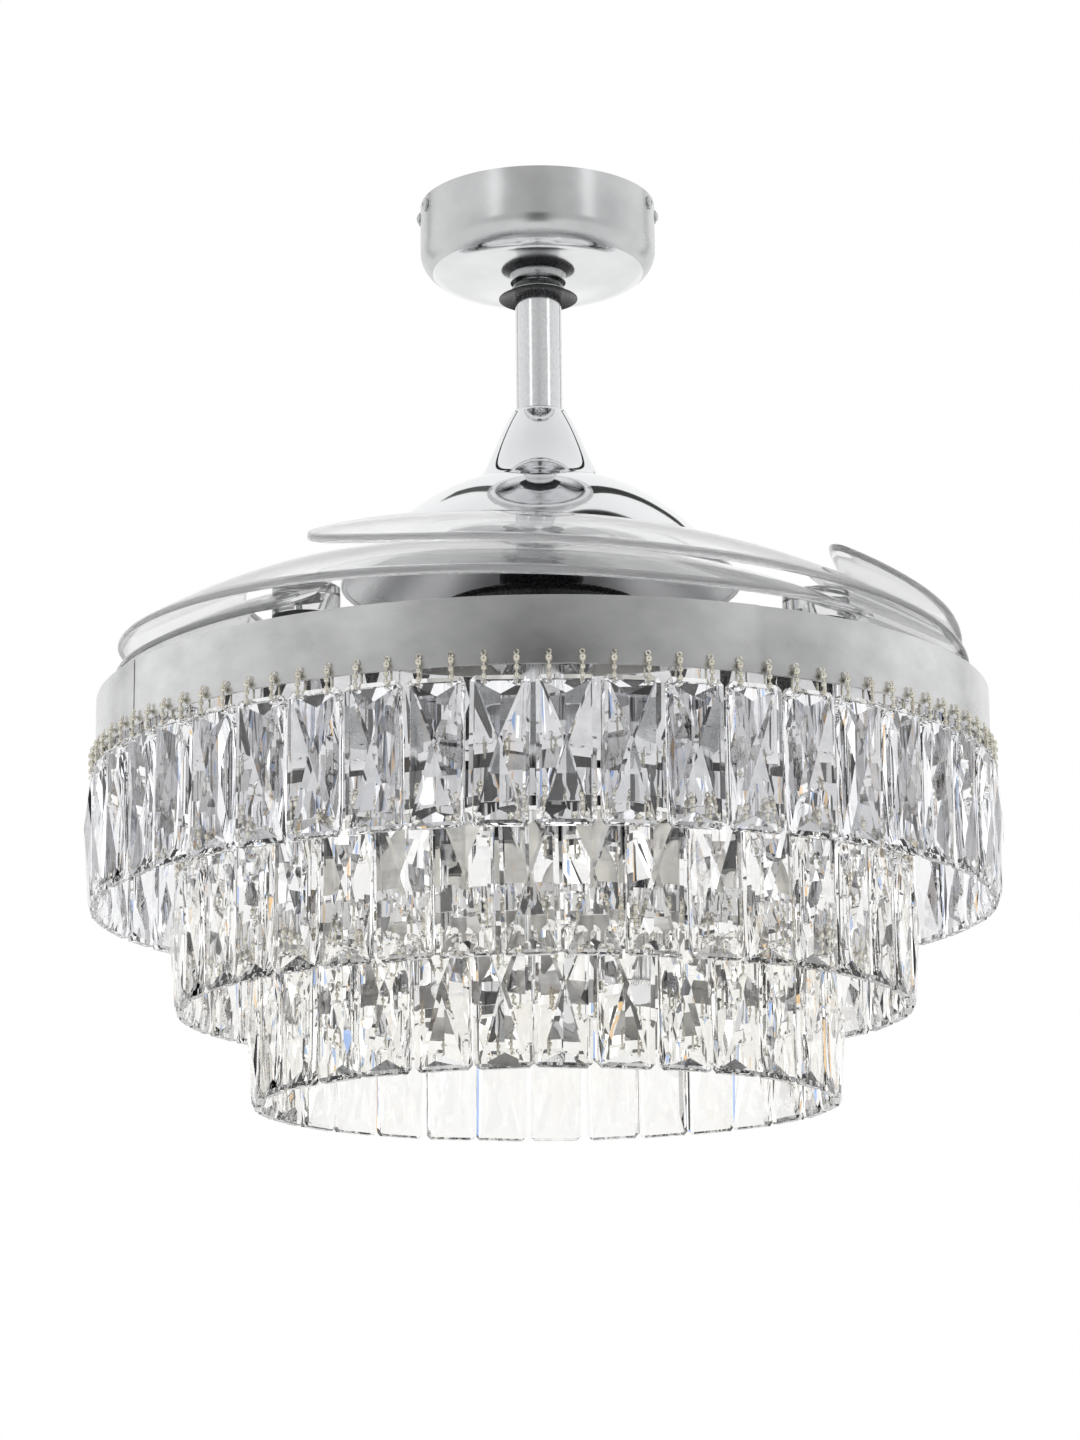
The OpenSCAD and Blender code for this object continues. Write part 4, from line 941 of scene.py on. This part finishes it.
CAMERA_AT = (-0.0015, -2.0657, -0.7841)
CAMERA_PITCH = 13.043
CAMERA_ROLL = -0.589
CAMERA_LENS = 94.065
CAMERA_SENSOR = 36
FLOOR_Z = -1.35
FLOOR_HALF = 6
FLOOR_GREY = 0.92
FLOOR_GLOW = 0.93
FLOOR_ROUGH = 0.7

# The tent's brightness from the camera's side to the far side.
TENT = ((0.0, 0.62), (0.08, 0.68), (0.25, 0.80), (0.5, 0.88), (0.8, 0.98), (1.0, 1.0))
FILL = (0.75, 0.76, 0.78, 1)
# Each lamp: name, azimuth, height, distance, width, length, level, height aimed at, and
# whether metal shows it.
LAMPS = (("box_left", -41, 0.95, 2.3, 0.5, 1.0, 0.7, 0.3, True),
         ("box_right", 50, 0.95, 2.3, 0.5, 1.0, 0.7, 0.3, True),
         ("box_top", 0, 1.6, 0.6, 1.2, 1.2, 0.9, -0.25, False))
# Each card: name, azimuth, distance, width, lowest and highest height, tint, and whether
# metal shows it.
CARDS = (("card_front", 0, 2.9, 1.0, -1.3, 0.7, (0.10, 0.10, 0.10), True),
         ("card_low", 180, 3.0, 1.1, -1.34, -0.62, (0.02, 0.02, 0.02), False))
# Each arch: azimuth, width, the elevation that it starts at, and its grey.
ARCHES = ((-132, 0.24, -20, 0.02), (132, 0.24, -20, 0.02), (-160, 0.2, 40, 0.1),
          (158, 0.24, 30, 0.05))
ARCH_R = 3.2
ARCH_END = 84
ARCH_STEPS = 24

BAR_SEED = 9
BAR_COUNT = 16
BAR_FIRST = 14
BAR_STEP = 22.5
BAR_STRAY = 5
BAR_WIDTHS = (0.14, 0.34)
BAR_LOWS = (-1.3, -0.7)
BAR_HIGHS = (0.1, 1.4)
BAR_BACK_GAP = 27
BAR_R = 3.1
RIM_R = 3.12
RIM_AT = 0.62
RIM_WIDTH = 0.2
BRIGHT_TURN = 11
BRIGHT_WIDTH = 0.22
DARK = (0.02, 0.02, 0.022)
WARM = (1.0, 0.68, 0.36)
COOL = (0.42, 0.60, 1.0)
BRIGHT = (1.8, 1.8, 1.8)


def make_camera():
    data = bpy.data.cameras.new("camera")
    data.sensor_width = CAMERA_SENSOR
    data.lens = CAMERA_LENS
    camera = bpy.data.objects.new("camera", data)
    camera.matrix_world = (Matrix.Translation(CAMERA_AT) @ turn(90 + CAMERA_PITCH, "X")
                           @ turn(CAMERA_ROLL, "Z"))
    scene.collection.objects.link(camera)
    scene.camera = camera


def either_ray(nodes, links, first, second):
    """1 for a ray of one of the two kinds, 0 for any other."""
    path = nodes.new("ShaderNodeLightPath")
    either = nodes.new("ShaderNodeMath")
    either.operation = "MAXIMUM"
    links.new(path.outputs[first], either.inputs[0])
    links.new(path.outputs[second], either.inputs[1])
    return either.outputs[0]


def mixed(nodes, links, factor, first, second):
    """The first shader where the factor is 0, the second where it is 1."""
    mix = nodes.new("ShaderNodeMixShader")
    links.new(factor, mix.inputs["Fac"])
    links.new(first, mix.inputs[1])
    links.new(second, mix.inputs[2])
    return mix.outputs[0]


def make_floor():
    """A white floor that metal and glass show evenly bright."""
    mesh = bpy.data.meshes.new("floor")
    corners = ((-1, -1), (1, -1), (1, 1), (-1, 1))
    mesh.from_pydata([(x * FLOOR_HALF, y * FLOOR_HALF, FLOOR_Z) for x, y in corners],
                     [], [(0, 1, 2, 3)])
    floor_piece = bpy.data.objects.new("floor", mesh)
    material, nodes, links, shader = new_material("floor_white")
    shader.inputs["Roughness"].default_value = FLOOR_ROUGH
    shader.inputs["Base Color"].default_value = grey(FLOOR_GREY)
    glow = nodes.new("ShaderNodeEmission")
    glow.inputs["Color"].default_value = grey(FLOOR_GLOW)
    either = either_ray(nodes, links, "Is Glossy Ray", "Is Transmission Ray")
    links.new(mixed(nodes, links, either, shader.outputs["BSDF"], glow.outputs[0]),
              nodes["Material Output"].inputs["Surface"])
    mesh.materials.append(material)
    scene.collection.objects.link(floor_piece)


def soft_light(name, azimuth, height, distance, width, length, level, aim_z, to_metal):
    """A soft box that faces the fan; level is the brightness of its face."""
    data = bpy.data.lights.new(name, "AREA")
    data.shape = "RECTANGLE"
    data.size = width
    data.size_y = length
    data.energy = level * pi * width * length
    lamp = bpy.data.objects.new(name, data)
    a = radians(azimuth)
    lamp.location = (sin(a) * distance, -cos(a) * distance, height)
    aim = Vector((0, 0, aim_z)) - lamp.location
    lamp.rotation_mode = "QUATERNION"
    lamp.rotation_quaternion = aim.to_track_quat("-Z", "Y")
    lamp.visible_camera = False
    lamp.visible_glossy = to_metal
    scene.collection.objects.link(lamp)


def hide_card(name, mesh, tint, to_metal, to_glass):
    """Puts a card of even brightness in the studio that only metal, only glass or both show."""
    material, nodes, links, shader = new_material(name)
    nodes.remove(shader)
    glow = nodes.new("ShaderNodeEmission")
    glow.inputs["Color"].default_value = (*tint, 1)
    links.new(glow.outputs[0], nodes["Material Output"].inputs["Surface"])
    mesh.materials.append(material)
    panel = bpy.data.objects.new(name, mesh)
    panel.visible_camera = False
    panel.visible_diffuse = False
    panel.visible_shadow = False
    panel.visible_glossy = to_metal
    panel.visible_transmission = to_glass
    scene.collection.objects.link(panel)


def card(name, azimuth, distance, width, low, high, tint, to_metal=False):
    """An upright card that faces the fan, shown by glass and, if asked, by metal."""
    a = radians(azimuth)
    centre = Vector((sin(a) * distance, -cos(a) * distance, 0))
    side = Vector((cos(a), sin(a), 0)) * width / 2
    mesh = bpy.data.meshes.new(name)
    mesh.from_pydata([centre - side + Vector((0, 0, low)), centre + side + Vector((0, 0, low)),
                      centre + side + Vector((0, 0, high)), centre - side + Vector((0, 0, high))],
                     [], [(0, 1, 2, 3)])
    hide_card(name, mesh, tint, to_metal, True)


def glass_bars():
    """Dark bars with a warm and a cool rim, and bright bars, for the crystals to show.

    Every clear piece shows them, metal doesn't.
    """
    spread = random.Random(BAR_SEED).uniform
    for i in range(BAR_COUNT):
        azimuth = BAR_STEP * i + BAR_FIRST + spread(-BAR_STRAY, BAR_STRAY)
        width, low, high = spread(*BAR_WIDTHS), spread(*BAR_LOWS), spread(*BAR_HIGHS)
        if abs(azimuth - 180) < BAR_BACK_GAP:
            continue
        rim = degrees(width * RIM_AT / BAR_R)
        rim_width = width * RIM_WIDTH
        number = str(i + 1)
        card("bar_" + number, azimuth, BAR_R, width, low, high, DARK)
        card("warm_" + number, azimuth - rim, RIM_R, rim_width, low, high, WARM)
        card("cool_" + number, azimuth + rim, RIM_R, rim_width, low, high, COOL)
        card("bright_" + number, azimuth + BRIGHT_TURN, BAR_R, BRIGHT_WIDTH, low, high, BRIGHT)


def dark_arch(name, azimuth, width, low, level):
    """A dark strip that only metal shows, bent upwards over the fan."""
    a = radians(azimuth)
    out = Vector((sin(a), -cos(a), 0))
    side = Vector((cos(a), sin(a), 0)) * width / 2
    points = []
    for i in range(ARCH_STEPS + 1):
        e = radians(low + (ARCH_END - low) * i / ARCH_STEPS)
        centre = out * cos(e) * ARCH_R + Vector((0, 0, sin(e) * ARCH_R))
        points += [centre - side, centre + side]
    faces = [(2 * i, 2 * i + 1, 2 * i + 3, 2 * i + 2) for i in range(ARCH_STEPS)]
    mesh = bpy.data.meshes.new(name)
    mesh.from_pydata(points, [], faces)
    hide_card(name, mesh, (level, level, level), True, False)


def make_world():
    """White for the camera and through glass; metal sees a light tent, darker at the front."""
    world = bpy.data.worlds.new("studio")
    scene.world = world
    world.use_nodes = True
    nodes, links = world.node_tree.nodes, world.node_tree.links
    nodes.clear()
    place = nodes.new("ShaderNodeTexCoord")
    split = nodes.new("ShaderNodeSeparateXYZ")
    links.new(place.outputs["Generated"], split.inputs["Vector"])
    half = nodes.new("ShaderNodeMath")
    half.operation = "MULTIPLY_ADD"
    half.inputs[1].default_value = 0.5
    half.inputs[2].default_value = 0.5
    links.new(split.outputs["Y"], half.inputs[0])
    ramp = grey_ramp(nodes, TENT)
    ramp.color_ramp.interpolation = "EASE"
    links.new(half.outputs[0], ramp.inputs["Fac"])
    tent = nodes.new("ShaderNodeBackground")
    links.new(ramp.outputs["Color"], tent.inputs["Color"])
    white = nodes.new("ShaderNodeBackground")
    white.inputs["Color"].default_value = grey(1)
    fill = nodes.new("ShaderNodeBackground")
    fill.inputs["Color"].default_value = FILL
    path = nodes.new("ShaderNodeLightPath")
    lit = mixed(nodes, links, path.outputs["Is Glossy Ray"], fill.outputs[0], tent.outputs[0])
    either = either_ray(nodes, links, "Is Camera Ray", "Is Transmission Ray")
    output = nodes.new("ShaderNodeOutputWorld")
    links.new(mixed(nodes, links, either, lit, white.outputs[0]), output.inputs["Surface"])


def make_studio():
    make_camera()
    make_floor()
    make_world()
    for lamp in LAMPS:
        soft_light(*lamp)
    for one in CARDS:
        card(*one)
    for azimuth, width, low, level in ARCHES:
        dark_arch("arch_" + str(azimuth), azimuth, width, low, level)
    glass_bars()
    scene.cycles.max_bounces = 28
    scene.cycles.transmission_bounces = 28
    scene.cycles.glossy_bounces = 8
    scene.view_settings.view_transform = "Standard"


# ---- The whole fan ---------------------------------------------------------------------

finish_frame()
make_canopy()
make_canopy_screws()
make_collar()
make_rod()
make_bell()
make_dome()
make_dome_screws()
make_blades()
make_ring()
for row in (1, 2, 3):
    hook_row(row)
    crystal_row(row)
make_studio()
